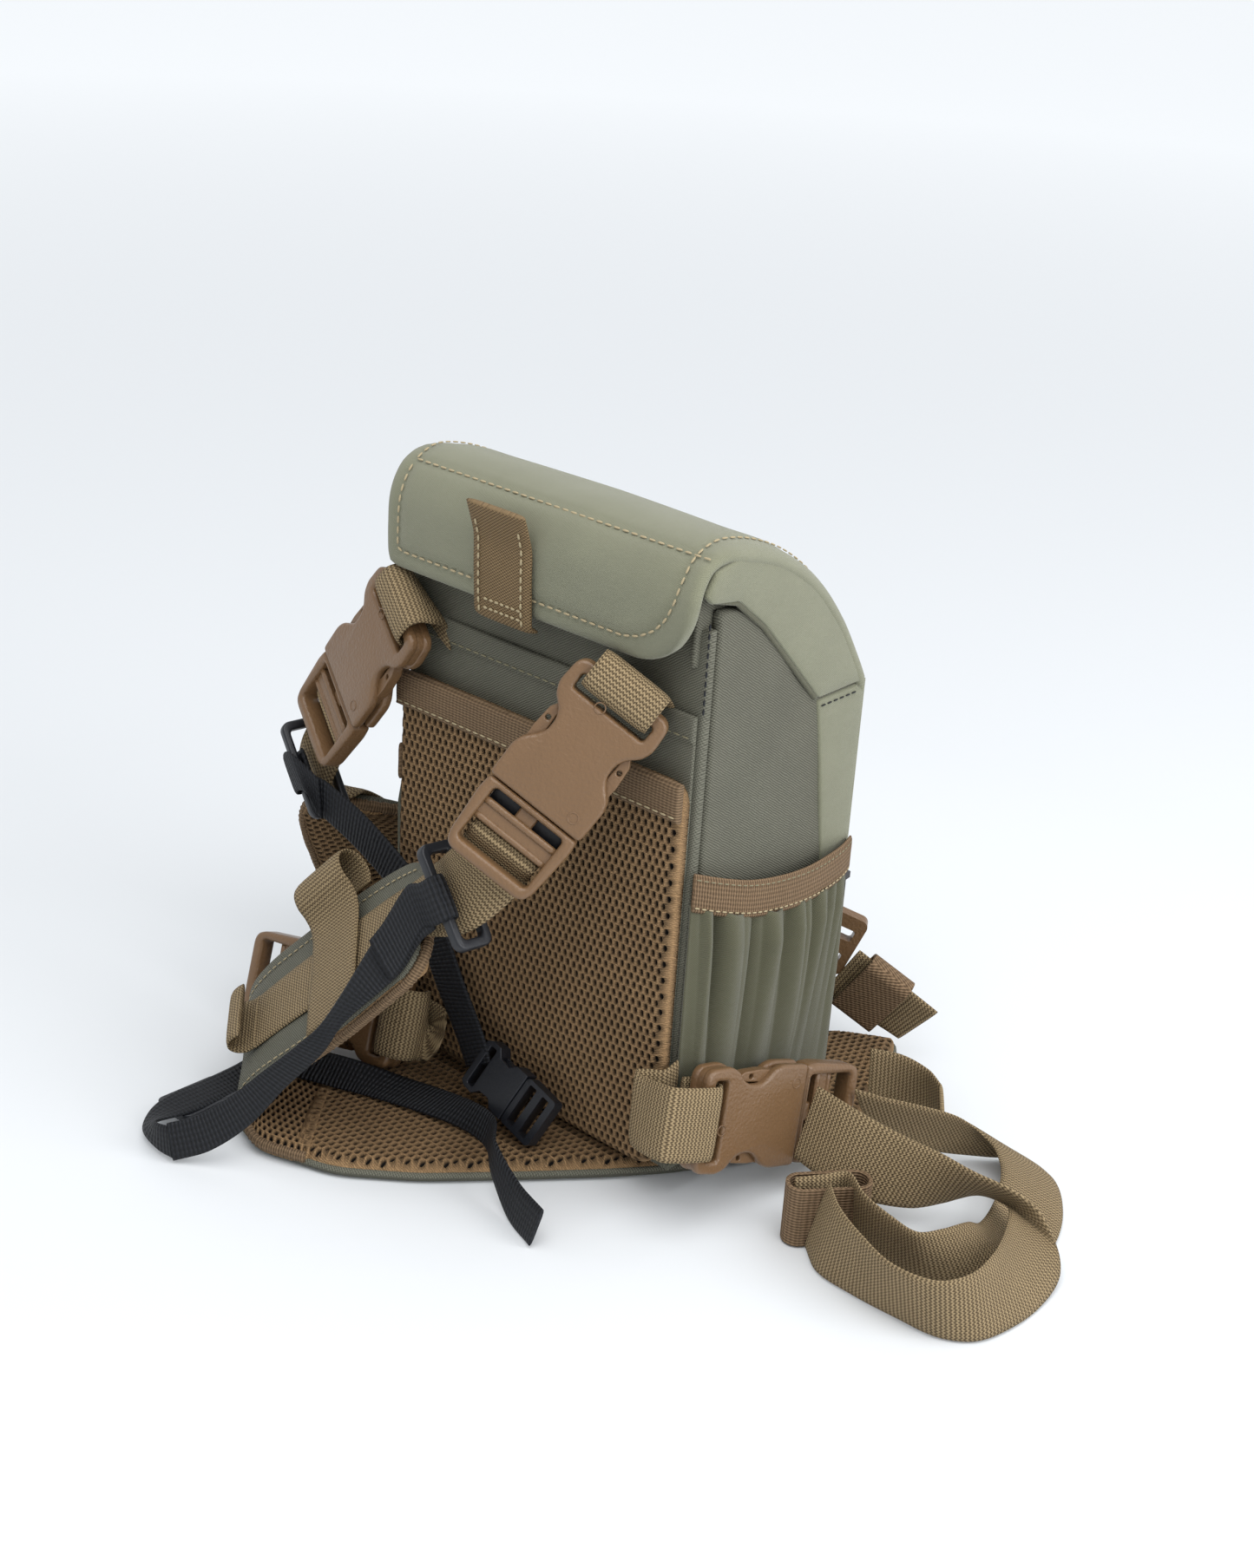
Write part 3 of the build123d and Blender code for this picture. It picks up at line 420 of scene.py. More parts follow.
def border_steps(L, er, step):
    e = np.array([0, 0.04, 0.14, 0.32, 0.6, 1.0]) * er
    n = max(int((L - 2 * er) / step), 2)
    mid = np.linspace(er, L - er, n + 1)
    return np.concatenate([e[:-1], mid, (L - e[:-1])[::-1]])


def pad(name, P, Lu, Lv, T, er, mat, body=None, rep=(), crown=0.0, step=3.0, round_u0=0.0, round_u1=0.0, wob=0.0, seed=1, both=True,
        relief=None, corner0=None):
    """A padded panel over P(u, v) (millimetres in, points out), edges rolled in like sewn foam."""
    us, vs = border_steps(Lu, er, step), border_steps(Lv, er, step)
    U, W = np.meshgrid(us, vs, indexing="ij")
    U2, W2 = U.copy(), W.copy()
    for end, r in ((0, round_u0), (1, round_u1)):
        if r <= 0:
            continue
        rs = corner0 if (corner0 and end == 0) else (r, r)
        a = (r - U) if end == 0 else (U - (Lu - r))
        for vend in (0, 1):
            r = rs[vend]
            a = (r - U) if end == 0 else (U - (Lu - r))
            b = (r - W) if vend == 0 else (W - (Lv - r))
            k = (a > 0) & (b > 0)
            p, q = a[k] / r, b[k] / r
            p2, q2 = p * np.sqrt(1 - q * q / 2), q * np.sqrt(1 - p * p / 2)
            U2[k] = (r - p2 * r) if end == 0 else (Lu - r + p2 * r)
            W2[k] = (r - q2 * r) if vend == 0 else (Lv - r + q2 * r)
    C = P(U2, W2)
    e = 0.05
    du = P(U2 + e, W2) - P(U2 - e, W2)
    dv = P(U2, W2 + e) - P(U2, W2 - e)
    N = norm(np.cross(du, dv))
    d = np.minimum(np.minimum(U, Lu - U), np.minimum(W, Lv - W))
    h = T / 2 * np.sqrt(np.maximum(1 - (1 - np.minimum(d / er, 1)) ** 2, 0))
    c = crown * np.sqrt(np.clip(d / (0.5 * min(Lu, Lv)), 0, 1))
    r = np.random.default_rng(seed)
    z = np.zeros_like(d)
    if wob:
        for k in range(5):
            a, b, ph = r.uniform(0.02, 0.09), r.uniform(0.02, 0.09), r.uniform(0, TAU)
            z += np.sin(U * a * 2 + W * b * 2 + ph) / 5
        z *= wob * np.clip(d / 8, 0, 1)
    rel = relief(U, W) if relief is not None else 0.0
    top = C + N * (h + c + z + rel)[..., None]
    bot = C - N * (h + (c if both else 0) + z * 0.5)[..., None]
    nu, nv = U.shape
    V = np.concatenate([top.reshape(-1, 3), bot.reshape(-1, 3)])
    UV = np.concatenate([np.stack([W.ravel(), U.ravel()], 1)] * 2)
    F = []
    q = lambda i, j, s: s * nu * nv + i * nv + j
    edge = lambda i, j: i in (0, nu - 1) or j in (0, nv - 1)
    m = lambda i, j, s: q(i, j, 0) if edge(i, j) else q(i, j, s)
    for i in range(nu - 1):
        for j in range(nv - 1):
            F.append((q(i, j, 0), q(i, j + 1, 0), q(i + 1, j + 1, 0), q(i + 1, j, 0)))
            F.append((m(i, j, 1), m(i + 1, j, 1), m(i + 1, j + 1, 1), m(i, j + 1, 1)))
    used = np.zeros(len(V), bool)
    for f in F:
        used[list(f)] = True
    re = np.cumsum(used) - 1
    V, UV = V[used], UV[used]
    F = [tuple(re[k] for k in f) for f in F]
    o = mk(name, V, F, mat, body, UV, rep=rep)
    return o


def poly_resample(pts, step, closed=True):
    P = np.array(pts, float)
    if closed:
        P = np.vstack([P, P[:1]])
    s = np.concatenate([[0], np.cumsum(np.linalg.norm(np.diff(P, axis=0), axis=1))])
    n = max(int(s[-1] / step), 8)
    T = np.linspace(0, s[-1], n + 1)
    Q = np.stack([np.interp(T, s, P[:, i]) for i in range(P.shape[1])], 1)
    return Q[:-1] if closed else Q


def poly_smooth(pts, it=3, k=0.5):
    P = np.array(pts, float)
    for _ in range(it):
        P = P * (1 - k) + (np.roll(P, 1, 0) + np.roll(P, -1, 0)) * k / 2
    return P


def poly_dist(Q, pts):
    """Distance from points to a closed polygon's outline, and whether each is inside."""
    A = np.array(pts, float)
    B = np.roll(A, -1, 0)
    best = np.full(len(Q), 1e9)
    near = np.zeros_like(Q)
    inside = np.zeros(len(Q), bool)
    for a, b in zip(A, B):
        d = b - a
        t = np.clip(((Q - a) @ d) / max(d @ d, 1e-9), 0, 1)
        c = a + t[:, None] * d
        dist = np.linalg.norm(Q - c, axis=1)
        k = dist < best
        best[k] = dist[k]
        near[k] = c[k]
        cond = ((a[1] > Q[:, 1]) != (b[1] > Q[:, 1]))
        with np.errstate(divide="ignore", invalid="ignore"):
            xi = a[0] + (Q[:, 1] - a[1]) * (b[0] - a[0]) / (b[1] - a[1])
        inside ^= cond & (Q[:, 0] < xi)
    return best, inside, near


def poly_pad(name, outline, to3, T, er, mat, body=None, rep=(), crown=0.0, step=4.0, wob=0.0, seed=3, under=True, relief=None):
    """A padded panel of any outline. to3(x, y, h) puts a flat point at height h."""
    ob = poly_resample(outline, step * 0.6)
    pts = [ob]
    cen = np.roll(ob, -1, 0) - np.roll(ob, 1, 0)
    nrm = norm(np.stack([-cen[:, 1], cen[:, 0]], 1))
    area = 0.5 * np.sum(ob[:, 0] * np.roll(ob[:, 1], -1) - np.roll(ob[:, 0], -1) * ob[:, 1])
    if area < 0:
        nrm = -nrm
    for f in (0.06, 0.25, 0.6, 1.0):
        q = ob + nrm * er * f
        d, ins, _ = poly_dist(q, ob)
        pts.append(q[ins & (d > er * f * 0.93)])
    lo, hi = ob.min(0), ob.max(0)
    gx, gy = np.meshgrid(np.arange(lo[0] + step / 2, hi[0], step), np.arange(lo[1] + step / 2, hi[1], step))
    g = np.stack([gx.ravel(), gy.ravel()], 1)
    g[:, 0] += np.where((np.round((g[:, 1] - lo[1]) / step).astype(int) % 2) == 0, step / 4, -step / 4)
    d, ins, _ = poly_dist(g, ob)
    pts.append(g[ins & (d > er + step * 0.35)])
    Q = np.vstack(pts)
    n0 = len(ob)
    res = delaunay_2d_cdt([Vector(p) for p in Q], [(i, (i + 1) % n0) for i in range(n0)], [], 1, 1e-5)
    co = np.array([tuple(v) for v in res[0]])
    tri = [tuple(f) for f in res[2]]
    d, ins, _ = poly_dist(co, ob)
    d = np.where(d < 1e-3, 0, d)
    bord = d < 1e-3
    h = T / 2 * np.sqrt(np.maximum(1 - (1 - np.minimum(d / er, 1)) ** 2, 0))
    span = max(d.max(), 1)
    c = crown * np.sqrt(np.clip(d / span, 0, 1))
    r = np.random.default_rng(seed)
    z = np.zeros(len(co))
    if wob:
        for k in range(5):
            a, b, ph = r.uniform(0.03, 0.12), r.uniform(0.03, 0.12), r.uniform(0, TAU)
            z += np.sin(co[:, 0] * a + co[:, 1] * b + ph) / 5
        z *= wob * np.clip(d / 8, 0, 1)
    if relief is not None:
        z = z + relief(co[:, 0], co[:, 1])
    top = to3(co[:, 0], co[:, 1], T / 2 + h + c + z)
    bot = to3(co[:, 0], co[:, 1], T / 2 - h)
    n = len(co)
    V = np.vstack([top, bot])
    F = list(tri) + [tuple((i if bord[i] else i + n) for i in reversed(f)) for f in tri]
    used = np.zeros(2 * n, bool)
    for f in F:
        used[list(f)] = True
    re = np.cumsum(used) - 1
    UV = np.vstack([co, co])[used]
    o = mk(name, V[used], [tuple(re[k] for k in f) for f in F], mat, body, UV, rep=rep)
    return o


def grid_surface(P, us, vs):
    """Bilinear lookup of a grid of points, with its normals."""
    N = norm(np.cross(np.gradient(P, axis=0), np.gradient(P, axis=1)))

    def S(u, v):
        i = np.clip(np.searchsorted(us, u, side="right") - 1, 0, len(us) - 2)
        j = np.clip(np.searchsorted(vs, v, side="right") - 1, 0, len(vs) - 2)
        a = np.clip((u - us[i]) / (us[i + 1] - us[i]), 0, 1)[..., None]
        b = np.clip((v - vs[j]) / (vs[j + 1] - vs[j]), 0, 1)[..., None]
        f = lambda G: (G[i, j] * (1 - a) * (1 - b) + G[i + 1, j] * a * (1 - b) + G[i, j + 1] * (1 - a) * b + G[i + 1, j + 1] * a * b)
        return f(P), norm(f(N))
    return S


def perforated(name, S, box, mask, T, mat, body=None, rep=(), pu=2.75, pv=2.95, hole=(0.76, 1.36), depth=2.2, fill=None, sub=1, roll=0.8):
    """Spacer mesh: a knitted face with a staggered pattern of real holes; perf_mesh adds the plain back below it, and T
    is not used here.
    """
    u0, u1, v0, v1 = box
    rows = int((v1 - v0) / pv) + 2
    cols = int((u1 - u0) / pu) + 2
    ids, C2, pit_shade, nrm_off = {}, [], [], []

    def vid(key, u, v, p, off):
        if key not in ids:
            ids[key] = len(C2)
            C2.append((u, v))
            pit_shade.append(p)
            nrm_off.append(off)
        return ids[key]
    F = []
    RR, CC = np.meshgrid(np.arange(rows), np.arange(-1, cols), indexing="ij")
    OK = mask(np.stack([(u0 + CC * pu + np.where(RR % 2, pu / 2, 0)).ravel(), (v0 + (RR + 0.5) * pv - pv / 2).ravel()], 1)).reshape(RR.shape)
    for r in range(rows):
        for c in range(-1, cols):
            cu = u0 + c * pu + (pu / 2 if r % 2 else 0)
            cv = v0 + (r + 0.5) * pv - pv / 2
            if not OK[r, c + 1]:
                continue
            b = []
            pr_ = 0.0
            k2 = 2 * c + (1 if r % 2 else 0)
            for (a, e) in ((-1, -1), (0, -1), (1, -1), (1, 0), (1, 1), (0, 1), (-1, 1), (-1, 0)):
                key = ("b", k2 + a, 2 * r + e)
                lift = 0.0
                b.append(vid(key, cu + a * pu / 2, cv + e * pv / 2, 0.0, lift))
            rim, low = [], []
            for g, (a, e) in enumerate(((-1, -1), (0, -1), (1, -1), (1, 0), (1, 1), (0, 1), (-1, 1), (-1, 0))):
                an = math.atan2(e, a)
                cx, sy = math.cos(an), math.sin(an)
                # the third value is painted shade: half at the hole's rim, full down in the hole
                rim.append(vid(("r", r, c, g), cu + cx * hole[0], cv + sy * hole[1], 0.5, -0.16))
                low.append(vid(("l", r, c, g), cu + cx * hole[0] * 0.86, cv + sy * hole[1] * 0.9, 1.0, -depth * 0.62))
            for g in range(8):
                h = (g + 1) % 8
                F.append((b[g], b[h], rim[h], rim[g]))
                F.append((rim[g], rim[h], low[h], low[g]))
            cen = vid(("c", r, c), cu, cv, 1.0, -depth)
            for g in range(0, 8, 2):
                F.append((low[g], low[(g + 1) % 8], low[(g + 2) % 8], cen))
    C2, pit_shade, off = np.array(C2, float), np.array(pit_shade), np.array(nrm_off)
    # outline of the patch
    cnt = {}
    for f in F:
        for i in range(len(f)):
            a, b = f[i], f[(i + 1) % len(f)]
            cnt.setdefault((min(a, b), max(a, b)), []).append((a, b))
    edges = [v[0] for v in cnt.values() if len(v) == 1]
    onb = sorted({a for e in edges for a in e})
    return C2, pit_shade, off, F, edges, onb


def perf_mesh(name, S, box, mask, snap, T, mat, body=None, rep=(), fill=None, **kw):
    C2, pit_shade, off, F, edges, onb = perforated(name, S, box, mask, T, mat, **kw)
    if snap is not None:
        C2[onb] = snap(C2[onb])
    P, N = S(C2[:, 0], C2[:, 1])
    top = P + N * off[:, None]
    n = len(C2)
    # edge rolls down to the back
    ring = {v: n + i for i, v in enumerate(onb)}
    ring2 = {v: n + len(onb) + i for i, v in enumerate(onb)}
    Vb = P[onb] - N[onb] * T * 0.5
    Vc = P[onb] - N[onb] * T
    V = np.vstack([top, Vb, Vc])
    # painted shade: the rolled edge gets a quarter of the hole darkening
    pit_shade_all = np.concatenate([pit_shade, np.full(2 * len(onb), 0.25)])
    UV = np.vstack([C2, C2[onb] + 0.7, C2[onb] + 1.4])
    for a, b in edges:
        F.append((b, a, ring[a], ring[b]))
        F.append((ring[b], ring[a], ring2[a], ring2[b]))
    # back: mirror of the cell corners without the holes
    back = {}
    Vx, UVx = [], []
    base = len(V)
    cells = {}
    # the flat back reuses the outer square of each cell
    keyed = [f for f in F]
    bf = []
    i = 0
    while i < len(keyed):
        f = keyed[i]
        if len(f) == 4 and i + 19 < len(keyed) + 1 and all(x < n for x in f):
            cell = [keyed[i + 2 * g][0] for g in range(8)]
            bf.append(cell)
            i += 20
        else:
            break
    for cell in bf:
        loop = []
        for v in cell:
            if v in ring2:
                loop.append(ring2[v])
            else:
                if v not in back:
                    back[v] = base + len(Vx)
                    Vx.append(P[v] - N[v] * T)
                    UVx.append(C2[v])
                loop.append(back[v])
        F.append(tuple(reversed(loop)))
    if Vx:
        V = np.vstack([V, np.array(Vx)])
        UV = np.vstack([UV, np.array(UVx)])
        # painted shade on the plain back
        pit_shade_all = np.concatenate([pit_shade_all, np.full(len(Vx), 0.3)])
    o = mk(name, V, F, mat, body, UV, rep=rep, attr=pit_shade_all)
    return o


def outline_solid(name, loops, z0, z1, bevel, mat, body, to3, seg=3, rep=(), smooth_it=0):
    """A moulded plate from closed outlines (the first is outer, others are holes), its rims rounded."""
    cu = bpy.data.curves.new(name, "CURVE")
    cu.dimensions = "2D"
    cu.fill_mode = "BOTH"
    for k, lp in enumerate(loops):
        P = np.array(lp, float)
        sp = cu.splines.new("POLY")
        sp.points.add(len(P) - 1)
        for q, p in zip(sp.points, P):
            q.co = (p[0], p[1], 0, 1)
        sp.use_cyclic_u = True
    cu.extrude = (z1 - z0) / 2 - bevel
    cu.bevel_depth = bevel
    cu.bevel_resolution = seg
    cu.offset = -bevel
    ob = bpy.data.objects.new(name + "_c", cu)
    bpy.context.scene.collection.objects.link(ob)
    dg = bpy.context.evaluated_depsgraph_get()
    me = bpy.data.meshes.new_from_object(ob.evaluated_get(dg))
    bpy.data.objects.remove(ob)
    bm = bmesh.new()
    bm.from_mesh(me)
    bmesh.ops.remove_doubles(bm, verts=bm.verts, dist=0.002)
    bpy.data.meshes.remove(me)
    V = np.array([tuple(v.co) for v in bm.verts])
    V[:, 2] += (z0 + z1) / 2
    bm.verts.index_update()
    F = [tuple(v.index for v in f.verts) for f in bm.faces]
    bm.free()
    return to3(V), F


def join(parts):
    V, F, n = [], [], 0
    for v, f in parts:
        V.append(v)
        F += [tuple(i + n for i in q) for q in f]
        n += len(v)
    return np.vstack(V), F


def rrect(cx, cy, w, h, r, n=5):
    out = []
    for sx, sy, a0 in ((1, 1, 0), (-1, 1, 90), (-1, -1, 180), (1, -1, 270)):
        for k in range(n + 1):
            a = math.radians(a0 + 90 * k / n)
            out.append((cx + sx * (w / 2 - r) + r * math.cos(a), cy + sy * (h / 2 - r) + r * math.sin(a)))
    return out


def circle(cx, cy, r, n=20):
    return [(cx + r * math.cos(i * TAU / n), cy + r * math.sin(i * TAU / n)) for i in range(n)]


def rounded(pts, step=1.0, it=4):
    return poly_smooth(poly_resample(pts, step), it)



# ------------------------------------------------------------------ ruled strips and their surfaces
class Ruled:
    """The surface over a list of rulings (a, b): u runs along, v from a to b, both in millimetres."""

    def __init__(self, pairs, flip=False, width=None):
        A, B, s = smooth_pairs(pairs, 1.0)
        if flip:
            A, B = B, A
        self.A, self.B, self.s = A, B, s
        self.L = s[-1]
        self.W = width or float(np.mean(np.linalg.norm(B - A, axis=1)))

    def __call__(self, u, v):
        u, v = np.asarray(u, float), np.asarray(v, float)
        uc = np.clip(u, 0, self.L)
        f = lambda G: np.stack([np.interp(uc, self.s, G[:, i]) for i in range(3)], -1)
        a, b = f(self.A), f(self.B)
        d = norm(self.B[1:] + self.A[1:] - self.B[:-1] - self.A[:-1])
        ext = np.where(u < 0, u, np.where(u > self.L, u - self.L, 0.0))[..., None]
        p = a + (b - a) * (v / self.W)[..., None]
        return p + ext * np.where((u < 0)[..., None], d[0], d[-1])

    def normal(self, u, v):
        e = 0.6
        return norm(np.cross(self(u + e, v) - self(u - e, v), self(u, v + e) - self(u, v - e)))

    def off(self, d):
        return lambda u, v: self(u, v) + self.normal(u, v) * d


def tube(name, P, r, mat, body=None, closed=False, flat=1.0, N=None, seg=8, rep=(), bump=0.0):
    """Piping or binding along a path; flat squeezes it along the path's normal."""
    P = np.asarray(P, float)
    t = norm(np.roll(P, -1, 0) - np.roll(P, 1, 0)) if closed else norm(np.gradient(P, axis=0))
    if N is None:
        N = np.tile([0.0, 0, 1], (len(P), 1))
    N = np.asarray(N, float)
    N = norm(N - (N * t).sum(1, keepdims=True) * t)
    Y = np.cross(t, N)
    s = np.concatenate([[0], np.cumsum(np.linalg.norm(np.diff(P, axis=0), axis=1))])
    V, UV = [], []
    for i in range(len(P)):
        rr = r * (1 + bump * math.sin(s[i] * TAU / 2.2))
        for g in range(seg):
            c, q = math.cos(g * TAU / seg), math.sin(g * TAU / seg)
            V.append(P[i] + Y[i] * c * rr + N[i] * q * rr * flat)
            UV.append((g * TAU / seg * r, s[i]))
    F = []
    n = len(P)
    for i in range(n if closed else n - 1):
        for g in range(seg):
            h = (g + 1) % seg
            j = (i + 1) % n
            F.append((i * seg + g, i * seg + h, j * seg + h, j * seg + g))
    if not closed:
        F.append(tuple(range(seg)))
        F.append(tuple((n - 1) * seg + seg - 1 - g for g in range(seg)))
    return mk(name, V, F, mat, body, UV, rep=rep)


def line_on(S, pts, n=60, lift=0.0):
    """Points and normals along a polyline given in a surface's own coordinates."""
    Q = poly_resample(pts, 1.2, closed=False)
    P = S(Q[:, 0], Q[:, 1])
    N = S.normal(Q[:, 0], Q[:, 1]) if hasattr(S, "normal") else None
    return P + N * lift, N


def groove(lines, depth=0.55, sig=1.3):
    """Height of the dimples that rows of stitching pull into a pad."""
    segs = []
    for pts in lines:
        Q = np.array(pts, float)
        segs += list(zip(Q[:-1], Q[1:]))

    def f(U, W):
        q = np.stack([np.ravel(U), np.ravel(W)], 1)
        best = np.full(len(q), 1e9)
        for a, b in segs:
            d = b - a
            t = np.clip(((q - a) @ d) / (d @ d), 0, 1)
            best = np.minimum(best, np.linalg.norm(q - (a + t[:, None] * d), axis=1))
        return (-depth * np.exp(-(best / sig) ** 2)).reshape(np.shape(U))
    return f


class Plane3:
    def __init__(self, o, x, y):
        self.o, self.x, self.y = (np.array(k, float) for k in (o, x, y))
        self.n = norm(np.cross(self.x, self.y))

    def __call__(self, u, v):
        return self.o + np.asarray(u, float)[..., None] * self.x + np.asarray(v, float)[..., None] * self.y

    def normal(self, u, v):
        return np.broadcast_to(self.n, np.shape(u) + (3,))


# ------------------------------------------------------------------ lid
LID_OUT = [(-53.4, 189.9), (-54.4, 204), (-53.4, 217), (-47, 226.5), (-35, 230), (-12, 223.5), (8, 211), (25, 193), (36.2, 176), (41.6, 166.6)]
LID_IN = [(36.6, 166.6), (32.3, 173.6), (21.3, 189.5), (5.1, 206.8), (-13.8, 218.6), (-34.6, 224.9), (-43.9, 222.3), (-48.3, 215.4), (-49.2, 204.3), (-49, 190.6)]
mid = [((a[0] + b[0]) / 2, (a[1] + b[1]) / 2) for a, b in zip(LID_OUT, LID_IN[::-1])]
LIDS = Ruled([((66.5, y, z), (-66.5, y, z)) for y, z in mid], width=133.0)
LT = 4.7
lid_lines = [[(7.0, 27.0), (7.0, 126.5), (36.5, 126.5)], [(36.5, 126.5), (36.5, 1.0)], [(7.0, 27.0), (8.6, 20.5), (12.0, 14.6), (16.8, 10.2), (23.0, 7.4), (30.0, 6.4), (44.0, 7.0), (LIDS.L - 3, 7.0)],
             [(36.5, 126.5), (LIDS.L - 3, 126.0)]]


def sstep(x, a, b):
    t = np.clip((np.asarray(x, float) - a) / (b - a), 0, 1)
    return t * t * (3 - 2 * t)


def LIDC(u, v):
    d = np.minimum(np.maximum(v, 0), np.maximum(133.0 - v, 0))
    k = sstep(u, 33, 52)
    out = LIDS(u, v) - LIDS.normal(u, v) * (3.4 * np.clip(1 - d / 9.0, 0, 1) ** 2 * k)[..., None]
    out[..., 0] *= 1 + 0.016 * k
    return out


lid = pad("lid_panel", LIDC, LIDS.L, 133.0, LT, 2.6, M_SAGE, "lid", rep=("lid_pad",), crown=1.1, step=1.7, round_u0=12.0, corner0=(25.0, 6.0), wob=0.35, both=False,
          relief=groove(lid_lines, 0.75, 1.3))
class Surf:
    def __init__(self, f):
        self.f = f

    def __call__(self, u, v):
        return self.f(np.asarray(u, float), np.asarray(v, float))

    def normal(self, u, v):
        e = 0.5
        return norm(np.cross(self(u + e, v) - self(u - e, v), self(u, v + e) - self(u, v - e)))


LIDF = Surf(LIDC)
segs = []
for pts in lid_lines:
    P, N = line_on(LIDF, pts, lift=LT / 2 + 0.35)
    segs += stitch_path(P, N, 2.6, 1.0)
capsules("lid_stitching", segs, M_THREAD, "lid", 0.36)

EAR = [(-46.0, 213.0), (-33.0, 211.0), (-19.0, 200.0), (-4.0, 184.5), (13.0, 166.6), (36.6, 166.6), (33.6, 173.0), (22.6, 189.2),
       (6.2, 207.0), (-13.0, 219.2), (-34.6, 225.6), (-44.6, 223.0), (-49.0, 216.0)]
SIDE = [(-38.7, 12.3), (38.7, 12.3), (38.7, 163), (31, 168.5), (18, 184), (3, 197.5), (-14, 205.5), (-38.7, 208.5)]
WRAP = [(13.4, 165.6), (17.7, 143.6), (19.4, 133.5), (23.5, 106.8), (27.0, 60.0), (28.5, 12.6), (38.9, 12.6), (38.9, 161.8), (36.2, 165.6)]
for sx, tag in ((1, "right"), (-1, "left")):
    poly_pad("lid_gusset_" + tag, EAR, lambda y, z, h, k=sx: np.stack([k * (64.7 + h), y, z], 1), 2.6, 0.7, M_SAGE, "lid", rep=("lid_side_gussets",),
             crown=0.9, step=2.6, wob=0.3, seed=4 + sx)
    e = [(-44.6, 213.7), (-33.0, 210.4), (-19.0, 199.4), (-4.0, 183.8), (12.4, 166.6)]
    P = poly_resample([(sx * 66.1, y, z) for y, z in e], 1.0, closed=False)
    tube("lid_gusset_fold_" + tag, P, 1.0, M_SAGE2, "lid", N=np.tile([1.0, 0, 0], (len(P), 1)))
    poly_pad("side_" + tag, SIDE, lambda y, z, h, k=sx: np.stack([k * (60.9 + h), y, z], 1), 4.0, 1.6, M_CORD, "pack",
             rep=("side_panel_" + tag,), crown=2.0, step=3.2, wob=0.9, seed=11 + sx,
             relief=lambda y, z: -0.8 * np.exp(-((y + 0.0 - (z - 150) * 0.15) / 9) ** 2) * (z > 120) * np.clip((z - 120) / 30, 0, 1))
    poly_pad("front_wrap_" + tag, WRAP, lambda y, z, h, k=sx: np.stack([k * (64.6 + h), y, z], 1), 2.2, 1.0, M_SAGE, "pack", rep=("side_panel_" + tag,),
             crown=0.6, step=2.4, wob=0.3, seed=21 + sx)
    N = np.tile([float(sx), 0, 0], (2, 1))
    sg = []
    for z0 in (163.4,):
        P = poly_resample([(sx * 67.3, 14.5, z0), (sx * 67.3, 36.0, z0)], 1.0, closed=False)
        sg += stitch_path(P, np.tile([float(sx), 0, 0], (len(P), 1)), 2.4, 0.9)
    capsules("front_wrap_stitching_" + tag, sg, M_BLACK, "pack", 0.28)
    P = poly_resample([(sx * 64.6, -43.2, 175.0), (sx * 64.6, -43.2, 208.0)], 1.0, closed=False)
    capsules("back_seam_stitching_" + tag, stitch_path(P, np.tile([sx * 0.5, -0.85, 0.0], (len(P), 1)), 2.2, 0.9), M_BLACK, "pack", 0.3)

# ------------------------------------------------------------------ back, front and base panels
BACK = Plane3((65, -41, 12.3), (0, 0, 1), (-1, 0, 0))
pad("back_body", BACK, 190.7, 130.0, 4.0, 1.4, M_CORD, "pack", rep=("back_panel",), step=4.0, crown=0.3, wob=0.3)
BP = Plane3((63, -43.9, 12.3), (0, 0, 1), (-1, 0, 0))
pad("back_pocket_body", BP, 161.7, 126.0, 1.4, 0.6, M_CORD, "pack", rep=("back_pocket_panel",), step=4.0, crown=0.4, wob=0.4, seed=8)
HEM = Plane3((63.2, -44.4, 165.5), (0, 0, 1), (-1, 0, 0))
pad("back_pocket_hem", HEM, 9.2, 126.4, 2.2, 1.0, M_CORD, "pack", step=2.0, crown=0.2, wob=0.2, seed=9)
P = poly_resample([(62, -45.8, 167.4), (-62, -45.8, 167.4)], 1.0, closed=False)
capsules("back_pocket_hem_stitching", stitch_path(P, np.tile([0, -1.0, 0], (len(P), 1)), 2.6, 0.9), M_THREADG, "pack", 0.26)
FRONT = Plane3((-65, 41, 12.3), (0, 0, 1), (1, 0, 0))
pad("front_body", FRONT, 153.2, 130.0, 4.0, 1.4, M_SAGE, "pack", rep=("front_panel",), step=3.5, crown=0.9, wob=0.5, seed=5, both=False)
FP = Plane3((-62, 45.4, 14), (0, 0, 1), (1, 0, 0))
pl_lines = [[(4.0, 4.0), (4.0, 120.0)], [(76.5, 3.0), (76.5, 121.0)], [(67.6, 3.0), (67.6, 121.0)]]
pad("front_pocket_body", FP, 80.0, 124.0, 4.6, 2.2, M_SAGE2, "pack", rep=("front_pocket",), step=2.2, crown=1.4, round_u0=9, round_u1=4, wob=0.6, seed=6,
    both=False, relief=groove(pl_lines, 0.6, 1.4))
sg = []
for pts in pl_lines:
    P, N = line_on(FP, pts, lift=2.3 + 0.75)
    sg += stitch_path(P, N, 2.6, 1.0)
capsules("front_pocket_stitching", sg, M_THREADG, "pack", 0.28)
zt = Ruled([((-58, 48.9, 88.6), (-58, 48.9, 83.4)), ((0, 49.2, 88.6), (0, 49.2, 83.4)), ((58, 48.9, 88.6), (58, 48.9, 83.4))])
ribbon("zipper_tape", [((-58, 48.9, 88.8), (-58, 48.9, 83.2)), ((0, 49.3, 88.8), (0, 49.3, 83.2)), ((58, 48.9, 88.8), (58, 48.9, 83.2))], 5.6, 0.8, M_LINE, "pack")
V, F = [], []
